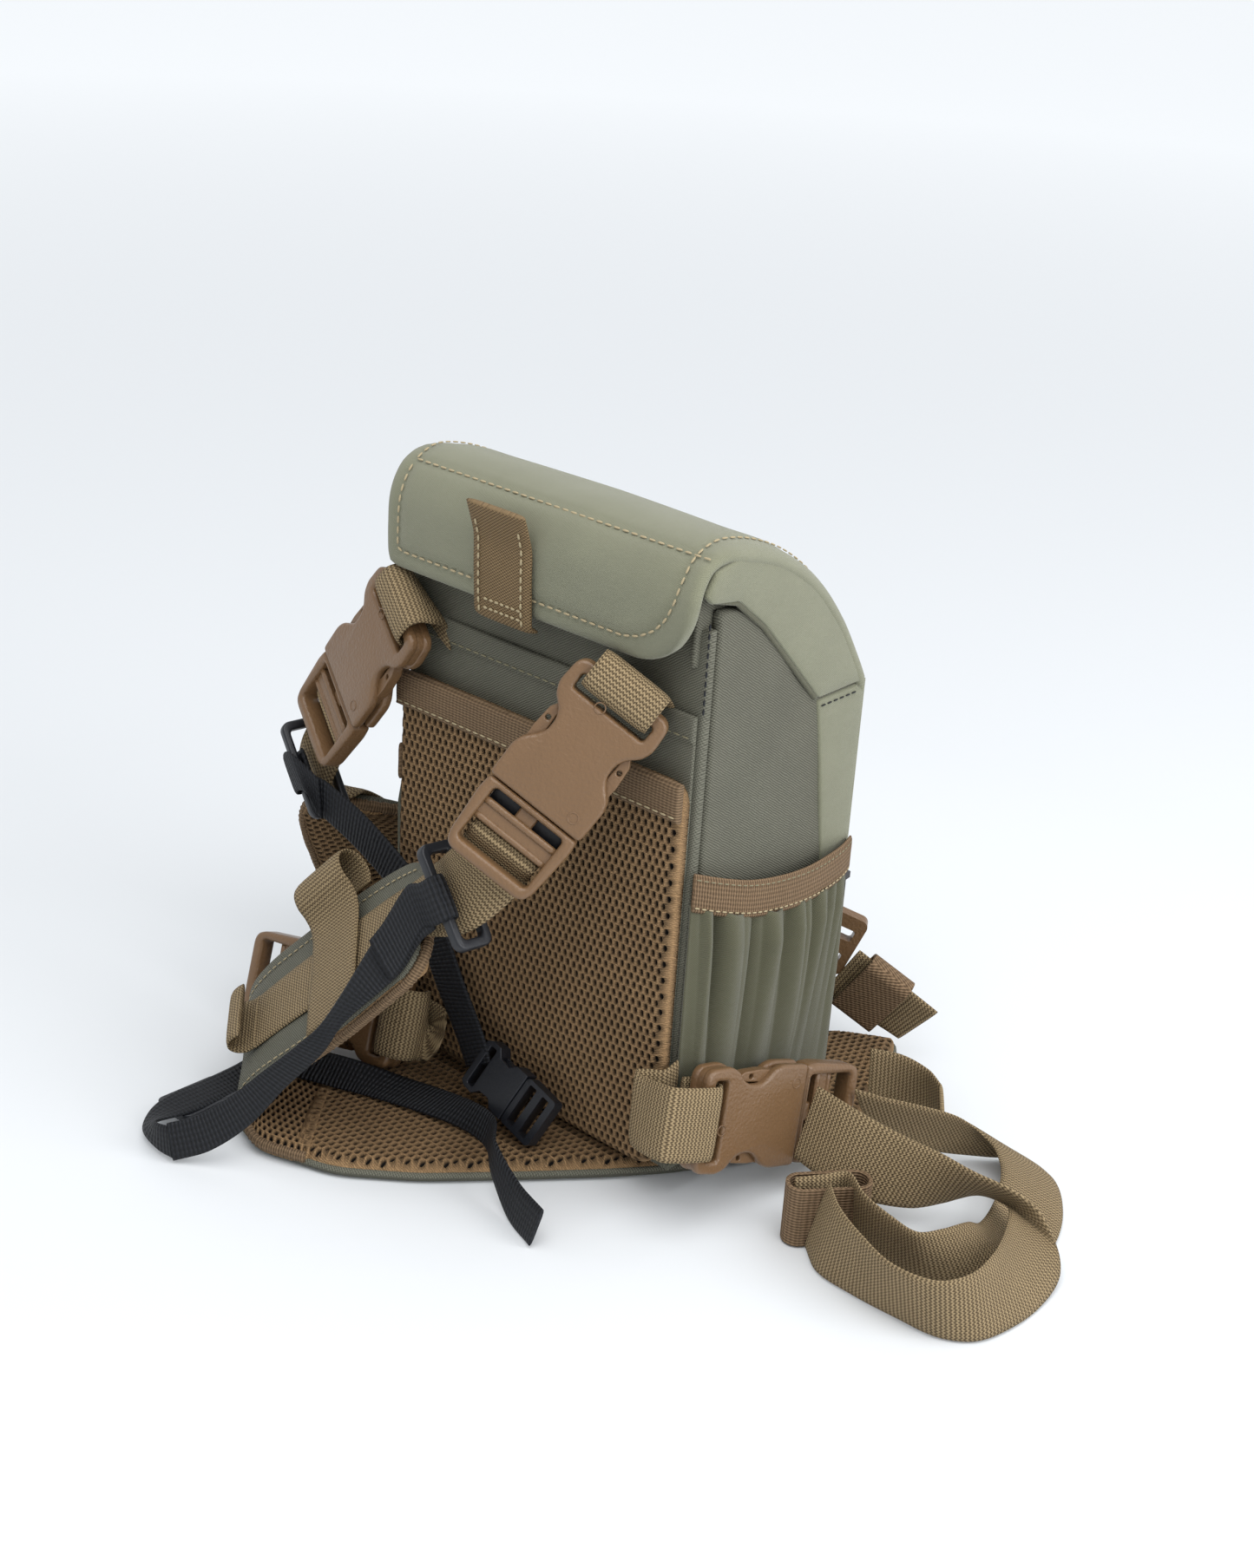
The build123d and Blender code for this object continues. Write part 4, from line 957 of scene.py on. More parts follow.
for k in range(76):
    x = -57 + k * 1.5
    y = 49.4 + 0.4 * (1 - (x / 58) ** 2)
    z = 86 + (0.45 if k % 2 else -0.45)
    b = len(V)
    for dx, dy, dz in [(i, j, l) for i in (-0.42, 0.42) for j in (0, 0.75) for l in (-1.15, 1.15)]:
        V.append((x + dx * (1 if dy == 0 else 0.7), y + dy, z + dz * (1 if dy == 0 else 0.8)))
    F += [tuple(b + q for q in f) for f in ((0, 1, 3, 2), (4, 6, 7, 5), (0, 4, 5, 1), (2, 3, 7, 6), (0, 2, 6, 4), (1, 5, 7, 3))]
mk("zipper_teeth", V, F, M_BPL, "pack", smooth=False)
BASE = Plane3((-65, -43, 10), (1, 0, 0), (0, 1, 0))
pad("base_body", BASE, 130.0, 86.0, 4.0, 1.8, M_CORD, "pack", rep=("base_panel",), step=4.0)

# ------------------------------------------------------------------ padded lining inside
LW = [("front", (-60.7, 37.2, 12.3), (1, 0, 0), 121.4), ("back", (60.7, -37.2, 12.3), (-1, 0, 0), 121.4),
      ("right", (59.2, 35.5, 12.3), (0, -1, 0), 71.0), ("left", (-59.2, -35.5, 12.3), (0, 1, 0), 71.0)]
for tag, o0, d0, w0 in LW:
    S = Plane3(o0, d0, (0, 0, 1))
    pad("lining_" + tag, lambda u, v, S=S: S(u, v), w0, 150.0, 3.0, 1.3, M_LINE, "pack", rep=("padded_liner",), step=5.0, crown=0.3, both=False)
    P = poly_resample([tuple(S(np.array(0.0), np.array(150.0))), tuple(S(np.array(float(w0)), np.array(150.0)))], 2.0, closed=False)
    tube("lining_binding_" + tag, P, 1.9, M_BIND, "pack", N=np.tile([0, 0, 1.0], (len(P), 1)))
S = Plane3((-60.0, -36.6, 13.6), (1, 0, 0), (0, 1, 0))
pad("lining_floor", S, 120.0, 73.0, 2.4, 1.0, M_LINE, "pack", rep=("padded_liner",), step=6.0)

# ------------------------------------------------------------------ mesh back pad with its bound top
MESH = [(-63, 151.4), (-63, 42), (-60, 28), (-52, 17.5), (-40, 11), (57, 9.5), (63, 14), (63, 151.4)]
MR = rounded(MESH, 3.0, 3)


def mesh_mask(q):
    d, i, _ = poly_dist(q, MR)
    return i & (d > 1.5)


def mesh_snap(q):
    return poly_dist(q, MR)[2]


def mesh_S(u, v):
    d, i, _ = poly_dist(np.stack([u, v], 1), MR)
    roll = np.clip(1 - d / 3.2, 0, 1)
    h = 1.0 * np.sqrt(np.clip(d / 40, 0, 1)) - 2.4 * roll ** 2
    P = np.stack([u, -49.6 - h, v], 1)
    N = np.tile([0.0, -1.0, 0.0], (len(u), 1))
    return P, N


perf_mesh("back_mesh", mesh_S, (-64, 64, 9, 152), mesh_mask, mesh_snap, 3.0, M_KNIT, "pack", rep=("mesh_back_pad",), fill=0.55)
TB = Plane3((63.6, -49.3, 139.8), (0, 0, 1), (-1, 0, 0))
pad("back_mesh_binding", TB, 13.4, 127.2, 3.4, 1.5, M_BIND, "pack", rep=("mesh_top_binding",), step=1.6, crown=0.35, wob=0.2, relief=groove([[(2.2, 0), (2.2, 127.2)]], 0.35, 0.8))
P = poly_resample([(63, -51.2, 142.0), (-63, -51.2, 142.0)], 1.0, closed=False)
capsules("back_mesh_binding_stitching", stitch_path(P, np.tile([0, -1.0, 0], (len(P), 1)), 2.4, 0.9), M_THREAD, "pack", 0.3)

# ------------------------------------------------------------------ side pockets, gathered under elastic
BANDT = [(67, -44, 121.5), (70.6, -35, 118.4), (73.4, -22, 114.4), (74.4, -6, 111.4), (73.8, 12, 109.4), (71, 29, 108.6), (67.2, 40.5, 108.4)]
for sx, tag in ((1, "right"), (-1, "left")):
    B = np.array(BANDT, float)
    t = np.concatenate([[0], np.cumsum(np.linalg.norm(np.diff(B[:, :2], axis=0), axis=1))])
    T = np.linspace(0, t[-1], 221)
    C = hermite(B, t, T)
    tan = norm(np.gradient(C[:, :2], axis=0))
    out = np.stack([-tan[:, 1], tan[:, 0]], 1) * -1.0
    out = np.where(out[:, :1] < 0, -out, out)
    r = np.random.default_rng(31 + sx)
    # fold phase runs unevenly along the pocket, as gathers do
    ph = np.cumsum(1.0 + 0.5 * np.sin(T / 5.7 + r.uniform(0, 6)) * np.sin(T / 12.9 + 1.1)) * (T[1] - T[0]) / 14.5 * TAU
    nz = 70
    zs = np.linspace(0, 1, nz)
    Vo, UVo = [], []
    for k, f in enumerate(zs):
        zt_ = C[:, 2] - 11.6
        z = zt_ * (1 - f) + 11.4 * f
        # plan shape: from the band's line to the flat seam at the foot
        g = 1 - 0.58 * (f ** 1.25)
        x = 66.2 + (C[:, 0] - 66.2) * g + 1.8 * math.sin(math.pi * f) ** 0.8 * np.clip(np.sin(np.pi * T / T[-1]), 0, 1)
        amp = (3.5 * (1 - f) ** 0.55 * (0.55 + 0.45 * min(f / 0.12, 1)) + 0.12) * np.clip(np.minimum(T, T[-1] - T) / 6, 0, 1)
        q_ = T / T[-1]
        lean = 2.6 * f * (q_ - 0.3)
        env = 0.5 + 0.75 * np.exp(-((q_ - 0.33) / 0.26) ** 2)
        main = 2 * np.abs(np.sin(ph / 2 + lean)) - 1
        side_ = 2 * np.abs(np.sin(ph * 0.79 + 1.3 + lean * 1.7)) - 1
        fold = env * main * (1 - 0.55 * f) + 0.5 * side_ * (1 - f) ** 1.6 + 0.8 * f * np.sin(ph * 0.31 + 0.7 + lean)
        d = amp * fold - (1 - f) ** 6 * 0.8
        Vo.append(np.stack([x + out[:, 0] * d, C[:, 1] + out[:, 1] * d, z], 1))
        UVo.append(np.stack([T * 1.25, f * (C[:, 2] - 23)], 1))
    G = np.array(Vo)
    Nn = norm(np.cross(np.gradient(G, axis=1), np.gradient(G, axis=0)))
    if Nn[:, :, 0].mean() < 0:
        Nn = -Nn
    G2 = G - Nn * 1.1
    nt = len(T)
    V = np.concatenate([G.reshape(-1, 3), G2.reshape(-1, 3)])
    V[:, 0] = np.maximum(V[:, 0], 64.9) * sx
    UV = np.concatenate([np.array(UVo).reshape(-1, 2)] * 2)
    q = lambda i, j, s: s * nz * nt + i * nt + j
    F = []
    for i in range(nz - 1):
        for j in range(nt - 1):
            F.append((q(i, j, 0), q(i, j + 1, 0), q(i + 1, j + 1, 0), q(i + 1, j, 0)))
            F.append((q(i, j, 1), q(i + 1, j, 1), q(i + 1, j + 1, 1), q(i, j + 1, 1)))
    for i in range(nz - 1):
        for j, dr in ((0, 1), (nt - 1, -1)):
            f = (q(i, j, 0), q(i + 1, j, 0), q(i + 1, j, 1), q(i, j, 1))
            F.append(f if dr > 0 else f[::-1])
    for j in range(nt - 1):
        for i, dr in ((0, -1), (nz - 1, 1)):
            f = (q(i, j, 0), q(i, j + 1, 0), q(i, j + 1, 1), q(i, j, 1))
            F.append(f if dr < 0 else f[::-1])
    area = 0.0
    a1 = np.linalg.norm(np.cross(G[1:, :-1] - G[:-1, :-1], G[:-1, 1:] - G[:-1, :-1]), axis=2).sum()
    o = mk("side_pocket_cloth_" + tag, V, F, M_SAGE2, "pack", UV, rep=("side_pocket_" + tag,))
    # elastic band over the pocket's mouth
    pr = [((sx * x, y, z + 0.4), (sx * x, y, z - 13.3)) for x, y, z in C[::8]]
    ribbon("side_pocket_elastic_" + tag, pr, 13.6, 1.7, M_ELAST, "pack", rep=("side_pocket_band_" + tag,), step=0.9, nx=9, ripple=0.16, seed=3)
    P = np.array([(sx * (x + 1.05), y, z - 11.3) for x, y, z in C])
    O = np.stack([out[:, 0] * sx, out[:, 1], np.zeros(len(C))], 1)
    P = np.stack([sx * (C[:, 0] + out[:, 0] * 1.0), C[:, 1] + out[:, 1] * 1.0, C[:, 2] - 11.2], 1)
    capsules("side_pocket_elastic_stitching_" + tag, stitch_path(P, O, 1.9, 0.8), M_THREAD, "pack", 0.26)
    P2 = P + [0, 0, 10.0]
    capsules("side_pocket_elastic_stitching2_" + tag, stitch_path(P2, O, 1.9, 0.8), M_THREADG, "pack", 0.2)

EAR = [(-45.2, 190), (-45.2, 213.5), (-41, 216), (-30, 214.5), (-20, 209.5), (-12, 203), (-14, 190)]
for sx, tag in ((1, "right"), (-1, "left")):
    poly_pad("side_ear_" + tag, EAR, lambda y, z, h, k=sx: np.stack([k * (59.4 + h), y, z], 1), 2.0, 0.8, M_CORD, "pack", rep=("side_panel_" + tag,), step=3.0)
tube("lid_hinge_seam", [(x, 42.6, 166.6) for x in np.linspace(-59, 59, 60)], 1.9, M_SAGE, "pack")

# ------------------------------------------------------------------ buckle frames
BK = {
    "shoulder_buckle_right": ((44.2, -55.5, 181), (-0.29601, -0.523499, -0.798953), (0.787005, 0.340336, -0.514582), (0.541296, -0.781102, 0.311254)),
    "shoulder_buckle_left": ((-56, -53, 179), (-0.561626, -0.047944, -0.826001), (0.790527, -0.325767, -0.518597), (-0.24422, -0.944234, 0.22086)),
    "waist_buckle_right": ((79, -50, 38.8), (0.171715, 0.948589, -0.265882), (-0.129812, 0.289324, 0.948388), (0.976557, -0.128338, 0.172819)),
    "waist_buckle_left": ((-44, -62.3, 27), (-0.990934, -0.087435, -0.102008), (0.12682, -0.358079, -0.925038), (0.044354, -0.929588, 0.365921)),
}
BK = {k: tuple(np.array(c, float) for c in v) for k, v in BK.items()}


def loc(b, x, y, z):
    E, u, v, n = BK[b]
    return E + u * x + v * y + n * z


def loop_pairs(b, loop, w=12.5):
    return [(loc(b, x, -w, z), loc(b, x, w, z)) for x, z in loop]


LOOP = [(-5.2, -1.5), (-5.4, 2.4), (-3.4, 5.4), (0.5, 6.2), (4.6, 5.9), (6.8, 3.4), (7.0, -1.0), (6.2, -4.6), (3.4, -6.2), (1.2, -6.2)]
WLOOP = [(-14.0, 2.6), (-10.0, 4.6), (-4.2, 5.8), (0.5, 6.2), (4.6, 5.9), (6.8, 3.4), (7.0, -1.0), (6.2, -4.6), (3.0, -6.3), (-1.0, -6.6)]
ribbon("anchor_shoulder_right", [((20.4, -46.2, 178.0), (41.6, -46.2, 164.8)), ((24.8, -46.6, 182.4), (46.0, -46.6, 169.9)), ((33.3, -50.6, 185.6), (52.6, -43.9, 173.6))]
       + loop_pairs("shoulder_buckle_right", LOOP), 25, 1.7, M_WEB, "pack", rep=("shoulder_anchor_webbing_right",), step=0.9)
ribbon("anchor_shoulder_left", [((-62.5, -45.8, 179.5), (-42.5, -45.8, 164.5)), ((-64.5, -45.9, 187.4), (-44.5, -45.9, 172.4))]
       + loop_pairs("shoulder_buckle_left", LOOP[:-1]), 25, 1.7, M_WEB, "pack", rep=("shoulder_anchor_webbing_left",), step=0.9)
ribbon("anchor_waist_right", [((67.2, -45.5, 29.0), (67.2, -45.3, 54.0)), ((66.6, -51.5, 27.5), (66.5, -51.0, 52.4)), ((63.4, -55.2, 27.5), (63.0, -54.4, 52.6)),
                              ((61.8, -60.0, 28.0), (60.6, -58.0, 52.8)), ((66.0, -63.4, 28.0), (64.9, -59.0, 52.4))]
       + loop_pairs("waist_buckle_right", WLOOP), 25, 1.7, M_WEB, "pack", rep=("waist_anchor_webbing",), step=0.9)
ribbon("anchor_waist_left", [((-61.0, -51.6, 15.0), (-44.0, -51.6, 33.0)), ((-49.5, -52.2, 13.5), (-33.0, -52.2, 32.0))]
       + loop_pairs("waist_buckle_left", [(-6.0, -4.2), (-6.6, 1.0), (-4.2, 4.6), (0.5, 6.2), (4.6, 5.9), (6.8, 3.4), (7.0, -1.0), (6.2, -4.6)]), 25, 1.7, M_WEB, "pack",
       rep=("waist_anchor_webbing",), step=0.9)

# lid pull tab: coarse webbing standing off the bend, its foot sewn to the flap's edge
TAB = [(-60.9, 226.0), (-58.9, 220.5), (-56.9, 214.0), (-56.6, 204.0), (-56.0, 193.0), (-55.2, 187.4), (-52.4, 186.2)]
ribbon("lid_tab", [((2.5, y, z), (-22.5, y, z)) for y, z in TAB], 25, 2.2, M_WEB2, "lid", rep=("lid_pull_tab",), step=0.9, ripple=0.1)
sg = []
for xx in (-0.6, -19.4):
    P = poly_resample([(xx, y - 1.35, z) for y, z in TAB[1:6]], 1.0, closed=False)
    sg += stitch_path(P, np.tile([0, -1.0, 0.1], (len(P), 1)), 2.2, 0.8)
for zz in (190.4, 193.4):
    P = poly_resample([(-0.6, -57.2, zz), (-19.4, -57.2, zz)], 1.0, closed=False)
    sg += stitch_path(P, np.tile([0, -1.0, 0.0], (len(P), 1)), 1.7, 0.7)
capsules("lid_tab_stitching", sg, M_THREAD, "lid", 0.4)

# ------------------------------------------------------------------ shoulder arms
PAD_R = [((6, -102.5, 84.5), (-21, -70.5, 103.5)), ((-5, -107, 71), (-39, -69, 90)), ((-20, -112, 53), (-58, -73, 72)), ((-36, -117.5, 36), (-76, -77.5, 53)),
         ((-50, -121.5, 21.5), (-91, -81, 36)), ((-56.8, -122.8, 11.5), (-98, -82, 23)), ((-55.5, -124, 5.5), (-94.5, -79, 11)), ((-46, -126.5, 4), (-84, -77, 5.5)),
         ((-34, -123.5, 4), (-71.5, -77.3, 4)), ((-27.5, -121.2, 4.1), (-63.0, -75.5, 4.1))]
PAD_L = [((-109, -53, 89), (-87, -42, 91)), ((-112, -48, 73), (-80, -22, 82)), ((-114, -38, 50), (-80, 0, 60)), ((-118, -30, 28), (-83, 10, 37)),
         ((-119.5, -23, 12.5), (-88, 17, 17.5)), ((-114.5, -15.5, 4.8), (-90, 26, 6.4)), ((-104, -9.6, 3.9), (-84, 31.5, 3.9)), ((-95.5, -11.5, 4.1), (-75.5, 30.0, 4.1))]
BL_R = ("shoulder_buckle_right_male_half", "pack", (0.010, -0.085, 0.104), (-0.050, -0.100, 0.040))
BL_L = ("shoulder_buckle_left_male_half", "pack", (-0.098, -0.050, 0.095), (-0.100, -0.010, 0.030))


def ride_arm(o, B):
    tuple(B[2])
    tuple(B[3])
    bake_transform(o)


for tag, pairs, flip, B, ref in (("right", PAD_R, True, BL_R, (0.3, -0.7, 0.6)), ("left", PAD_L, False, BL_L, (-0.5, 0.8, 0.2))):
    A = Ruled(pairs, flip)
    nn = A.normal(np.array(A.L * 0.3), np.array(A.W / 2))
    if float(np.dot(nn, ref)) < 0:
        A = Ruled(pairs, not flip)
    L, W = A.L, A.W
    n_in = 2.2
    lines = [[(6.0, 6.0), (L - 2, 6.0)], [(6.0, W - 6.0), (L - 2, W - 6.0)]]
    sh = pad("arm_shell_" + tag, lambda u, v, A=A: A(u, v) + A.normal(u, v) * 1.7, L, W, 3.2, 1.6, M_CORD, None, rep=("shoulder_pad_" + tag,), crown=0.5, step=2.2,
             round_u0=13, wob=0.5, seed=41, both=False, relief=groove(lines, 0.5, 1.1))
    ride_arm(sh, B)
    sg = []
    for pts in lines:
        P, N = line_on(A, pts, lift=3.3 + 0.12)
        sg += stitch_path(P, N, 2.4, 0.9)
    st = capsules("arm_stitching_" + tag, sg, M_THREAD, None, 0.28)
    ride_arm(st, B)

    def S_in(u, v, A=A, W=W, L=L):
        P = A(u, v)
        N = -A.normal(u, v)
        d = np.minimum(np.minimum(v, W - v), u)
        roll = np.clip(1 - d / 3.4, 0, 1)
        return P + N * (3.5 - 2.6 * roll ** 2)[:, None], N

    rr = 12.0

    def m_mask(q, L=L, W=W):
        u, v = q[:, 0], q[:, 1]
        ok = (u > 1.4) & (u < L - 1.4) & (v > 1.2) & (v < W - 1.2)
        c = (u < rr) & ((v < rr) | (v > W - rr))
        dv = np.where(v < W / 2, rr - v, v - (W - rr))
        return ok & ~(c & (np.hypot(rr - u, dv) > rr - 1.4))

    def m_snap(q, L=L, W=W):
        u, v = q[:, 0].copy(), q[:, 1].copy()
        for i in range(len(u)):
            dv = rr - v[i] if v[i] < W / 2 else v[i] - (W - rr)
            if u[i] < rr and dv > 0:
                k = math.hypot(rr - u[i], dv)
                s_ = rr / max(k, 1e-6)
                u[i] = rr - (rr - u[i]) * s_
                v[i] = (rr - dv * s_) if v[i] < W / 2 else (W - rr + dv * s_)
            else:
                ds = [(u[i], 0), (L - u[i], 1), (v[i], 2), (W - v[i], 3)]
                k = min(ds)[1]
                if k == 0: u[i] = 0
                elif k == 1: u[i] = L
                elif k == 2: v[i] = 0
                else: v[i] = W
        return np.stack([u, v], 1)

    me = perf_mesh("arm_mesh_" + tag, S_in, (0, L, 0, W), m_mask, m_snap, 3.2, M_KNIT, None, rep=("shoulder_pad_" + tag,), pu=2.75, pv=2.95, fill=0.5)
    ride_arm(me, B)
    # binding round the edge
    a = np.linspace(0, math.pi / 2, 8)
    path = [(L - 1, 0.2), (rr, 0.2)] + [(rr - (rr - 0.2) * math.sin(t_), rr - (rr - 0.2) * math.cos(t_)) for t_ in a[1:-1]] + [(0.2, rr), (0.2, W - rr)] \
        + [(rr - (rr - 0.2) * math.cos(t_), W - rr + (rr - 0.2) * math.sin(t_)) for t_ in a[1:-1]] + [(rr, W - 0.2), (L - 1, W - 0.2)]
    Q = poly_resample(path, 1.1, closed=False)
    P = A(Q[:, 0], Q[:, 1]) - A.normal(Q[:, 0], Q[:, 1]) * 0.4
    tb = tube("arm_edge_" + tag, P, 1.7, M_BIND, None, N=A.normal(Q[:, 0], Q[:, 1]), flat=1.25, bump=0.12)
    ride_arm(tb, B)
    if tag == "right":
        ARM_R = A
    else:
        ARM_L = A

WEBR = [((35.8, -76.5, 130), (16.2, -85, 142.9)), ((34.7, -79, 126.6), (15, -87.5, 139.5)), ((35.3, -82.7, 125), (15.6, -91.2, 137.9)),
        ((35.1, -84.4, 123.7), (15.4, -92.9, 136.6)), ((33.5, -84.1, 121.4), (13.8, -92.6, 134.2)), ((31.3, -83.7, 118.4), (11.7, -92.2, 131.3)),
        ((29.1, -85.6, 113.7), (9.4, -94.1, 126.6)), ((16.6, -93.5, 98.9), (0.1, -90.5, 117.1)), ((-2.2, -98.5, 91.4), (-16.9, -81.1, 101.8)),
        ((-16.3, -100, 78.8), (-31.9, -82.5, 87.6)), ((-32.7, -104.2, 61.1), (-49.2, -87.3, 69.4)), ((-49.6, -109.2, 43.6), (-66.5, -92.3, 50.8)),
        ((-64.2, -113, 28.1), (-81.5, -96, 34.2))]
WEBL = [((-95.3, -47.7, 139.8), (-75.6, -55.9, 126.9)), ((-97.9, -48.2, 136.3), (-78.1, -56.4, 123.3)), ((-100.2, -50.9, 134.4), (-80.5, -59.1, 121.4)),
        ((-101.6, -51.8, 132.9), (-81.8, -59.9, 119.9)), ((-102.3, -50.2, 130.7), (-82.6, -58.3, 117.7)), ((-103.3, -48.1, 127.8), (-83.6, -56.2, 114.9)),
        ((-106.1, -47.2, 123.1), (-86.3, -55.3, 110.2)), ((-106.2, -53.4, 112.8), (-91.8, -56.6, 96.4)), ((-108.6, -51.6, 102.3), (-90.3, -47.7, 95.2)),
        ((-111, -49.9, 91.9), (-88.7, -38.7, 93.9)), ((-108.4, -39.8, 77.1), (-89.5, -24.4, 82.4)), ((-108.6, -25.5, 54.4), (-92.3, -7.2, 59.2)),
        ((-112.1, -16.6, 32.1), (-95.9, 2, 36.2))]
ride_arm(ribbon("arm_webbing_right", WEBR, 25, 1.7, M_WEB, None, rep=("shoulder_webbing_right",), step=0.9), BL_R)
ride_arm(ribbon("arm_webbing_left", WEBL, 25, 1.7, M_WEB, None, rep=("shoulder_webbing_left",), step=0.9), BL_L)

# cross strap with its standing loop
a2, b2 = (np.array(k, float) for k in PAD_R[2])
a1, b1 = (np.array(k, float) for k in PAD_R[1])
a3, b3 = (np.array(k, float) for k in PAD_R[3])
o2 = (a2 + b2) / 2
x2 = norm(b2 - a2)
t2 = norm((a3 + b3) / 2 - (a1 + b1) / 2)
t2 = norm(t2 - (t2 @ x2) * x2)
n2 = np.cross(t2, x2)
if n2 @ np.array([0.3, -0.7, 0.6]) < 0:
    n2 = -n2
CX = [(-26, 6.6), (-12, 6.8), (4, 6.9), (15, 7.3), (20.5, 8.8), (24, 11.6), (26.6, 14.8), (30.6, 16.8), (35, 16.2), (38, 13), (38.4, 9), (36.4, 5.6), (33, 3.6), (29.4, 3.0)]
cr = [(o2 + x2 * x + n2 * n_ - t2 * 12.5, o2 + x2 * x + n2 * n_ + t2 * 12.5) for x, n_ in CX]
ride_arm(ribbon("arm_cross_strap", cr, 25, 1.7, M_WEB, None, rep=("cross_strap_right",), step=0.9), BL_R)

# ------------------------------------------------------------------ yoke
YOKE = [(-33, -122.5), (-18, -118), (4, -100), (27, -74), (46, -51.5), (60, -33), (74, -6), (81.5, 18), (87, 34), (78, 60), (64, 91), (45, 80), (20, 48), (-15, 30),
        (-55, 34), (-78, 34), (-79, 31), (-99, -10.5), (-84, -22), (-66, -38), (-56, -60), (-66, -76.5)]
YR = rounded(YOKE, 3.0, 5)
poly_pad("yoke_shell", YR, lambda x, y, h: np.stack([x, y, 0.05 + h], 1), 3.6, 1.6, M_CORD, "pack", rep=("yoke_pad",), step=4.0)


def y_mask(q):
    d, i, _ = poly_dist(q, YR)
    return i & (d > 1.6)


def open_dist(Q, pts):
    best = np.full(len(Q), 1e9)
    P = np.array(pts, float)
    for a, b in zip(P[:-1], P[1:]):
        d = b - a
        t = np.clip(((Q - a) @ d) / max(d @ d, 1e-9), 0, 1)
        best = np.minimum(best, np.linalg.norm(Q - (a + t[:, None] * d), axis=1))
    return best


def y_S(u, v):
    q = np.stack([u, v], 1)
    d = np.minimum(open_dist(q, YOKE[:17]), open_dist(q, YOKE[17:22]))
    roll = np.clip(1 - d / 4.0, 0, 1)
    z = 7.2 + 0.5 * np.sqrt(np.clip(d / 30, 0, 1)) - 3.2 * roll ** 2
    return np.stack([u, v, z], 1), np.tile([0.0, 0, 1.0], (len(u), 1))


perf_mesh("yoke_mesh", y_S, (-100, 88, -124, 92), y_mask, lambda q: poly_dist(q, YR)[2], 2.4, M_KNIT, "pack", rep=("yoke_pad",), fill=0.5)
for k, (a_, b_) in enumerate(((0, 16), (17, 21))):
    Q = poly_resample(YOKE[a_:b_ + 1], 2.4, closed=False)
    for _ in range(6):
        Q[1:-1] = Q[1:-1] * 0.5 + (Q[2:] + Q[:-2]) * 0.25
    tube("yoke_edge_%d" % (k + 1), [(x, y, 2.7) for x, y in Q], 1.0, M_CORD, "pack", flat=1.6)

# ------------------------------------------------------------------ waist webbing
S1 = [((93.3, -11, 13.5), (93.6, -1.5, 37.5)), ((109.3, -12.8, 12), (110.8, -1.7, 36)), ((121, -10, 10), (127, .5, 33.5)), ((134.2, -.2, 8.5), (141.2, 3.5, 31.5)),
      ((141.5, 9, 10), (153, 4.5, 30)), ((147.6, 16, 13), (165, 9.5, 26.5)), ((154.5, 16.5, 15), (173.5, 14.5, 20)), ((163, 13, 17), (181.5, 16, 8.5)),
      ((168.5, 4.5, 19), (187, 9.5, 3)), ((174, -7.5, 20.5), (189.5, -5.5, .9)), ((178, -20, 22), (189, -21, .9)), ((179.5, -34, 23), (185, -34.5, .9)),
      ((174.5, -45, 23.4), (175.5, -41.5, .9)), ((160, -48.5, 23.8), (160, -43, .9)), ((144.5, -44.5, 25.2), (143.5, -43.5, .9)), ((131, -37.5, 25.2), (128.5, -42, .9)),
      ((121, -29, 25), (117.5, -34, .9))]
S2 = [((110.2, -33.4, .9), (110.2, -33.4, 24.0)), ((116.4, -25.9, .9), (116.4, -26.4, 25.0)), ((121.5, -18.5, .9), (121.5, -20, 25.6)), ((132, -22.5, .9), (132.5, -26, 25.3)), ((144, -24.5, .9), (145.5, -29.5, 25.1)), ((158, -23, .9), (156, -30, 24.6)),
      ((168.5, -14.5, .9), (160, -21.5, 23.6)), ((175, 0, .9), (160.5, -8, 20)), ((176.5, 14, .9), (158.5, 4, 13)), ((173.5, 30, .9), (154, 19.5, 11.5)),
      ((165, 47, .9), (146.5, 35, 12.5)), ((153, 60, .9), (137.5, 44, 13.5)), ((140, 62.5, 1.2), (130.5, 43.5, 17.5)), ((129, 53, 2), (124.5, 38.5, 22.5)),
      ((118.5, 42.5, 3.4), (115.5, 31, 25.6)), ((107.5, 33, 5.2), (105, 23, 27.6)), ((99.5, 26.5, 6.5), (96, 17, 29.6))]
o = ribbon("waist_webbing_right", S1, 25, 1.7, M_WEB, None, rep=("waist_strap_right",), step=0.9, keepw=False)
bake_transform(o)
o = ribbon("waist_webbing_return", S2, 25, 1.7, M_WEB, None, rep=("waist_strap_right_return",), step=0.9, keepw=False)
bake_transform(o)
S0 = [((84, 44, 8.4), (83, 44, 29)), ((93, 51, 4.5), (92.5, 49.5, 28.3)), ((104, 54.5, 2), (103, 51, 26.4)), ((113, 51.5, 1.2), (111.5, 47, 25.6))]
o = ribbon("yoke_loop_webbing", S0, 24, 1.7, M_WEB, None, rep=("yoke_webbing_loop",), step=0.9, keepw=False)
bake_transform(o)
W0 = [((44, 67, 26), (56, 70.5, 47.5)), ((54, 74.5, 20), (68, 74.5, 40.5)), ((64, 80, 14.5), (79.5, 78.5, 34)), ((69.5, 82.5, 11.5), (86, 80.5, 30.5))]
ribbon("waist_webbing_front", W0, 25, 1.7, M_WEB, "pack", rep=("waist_strap_left",), step=0.9)

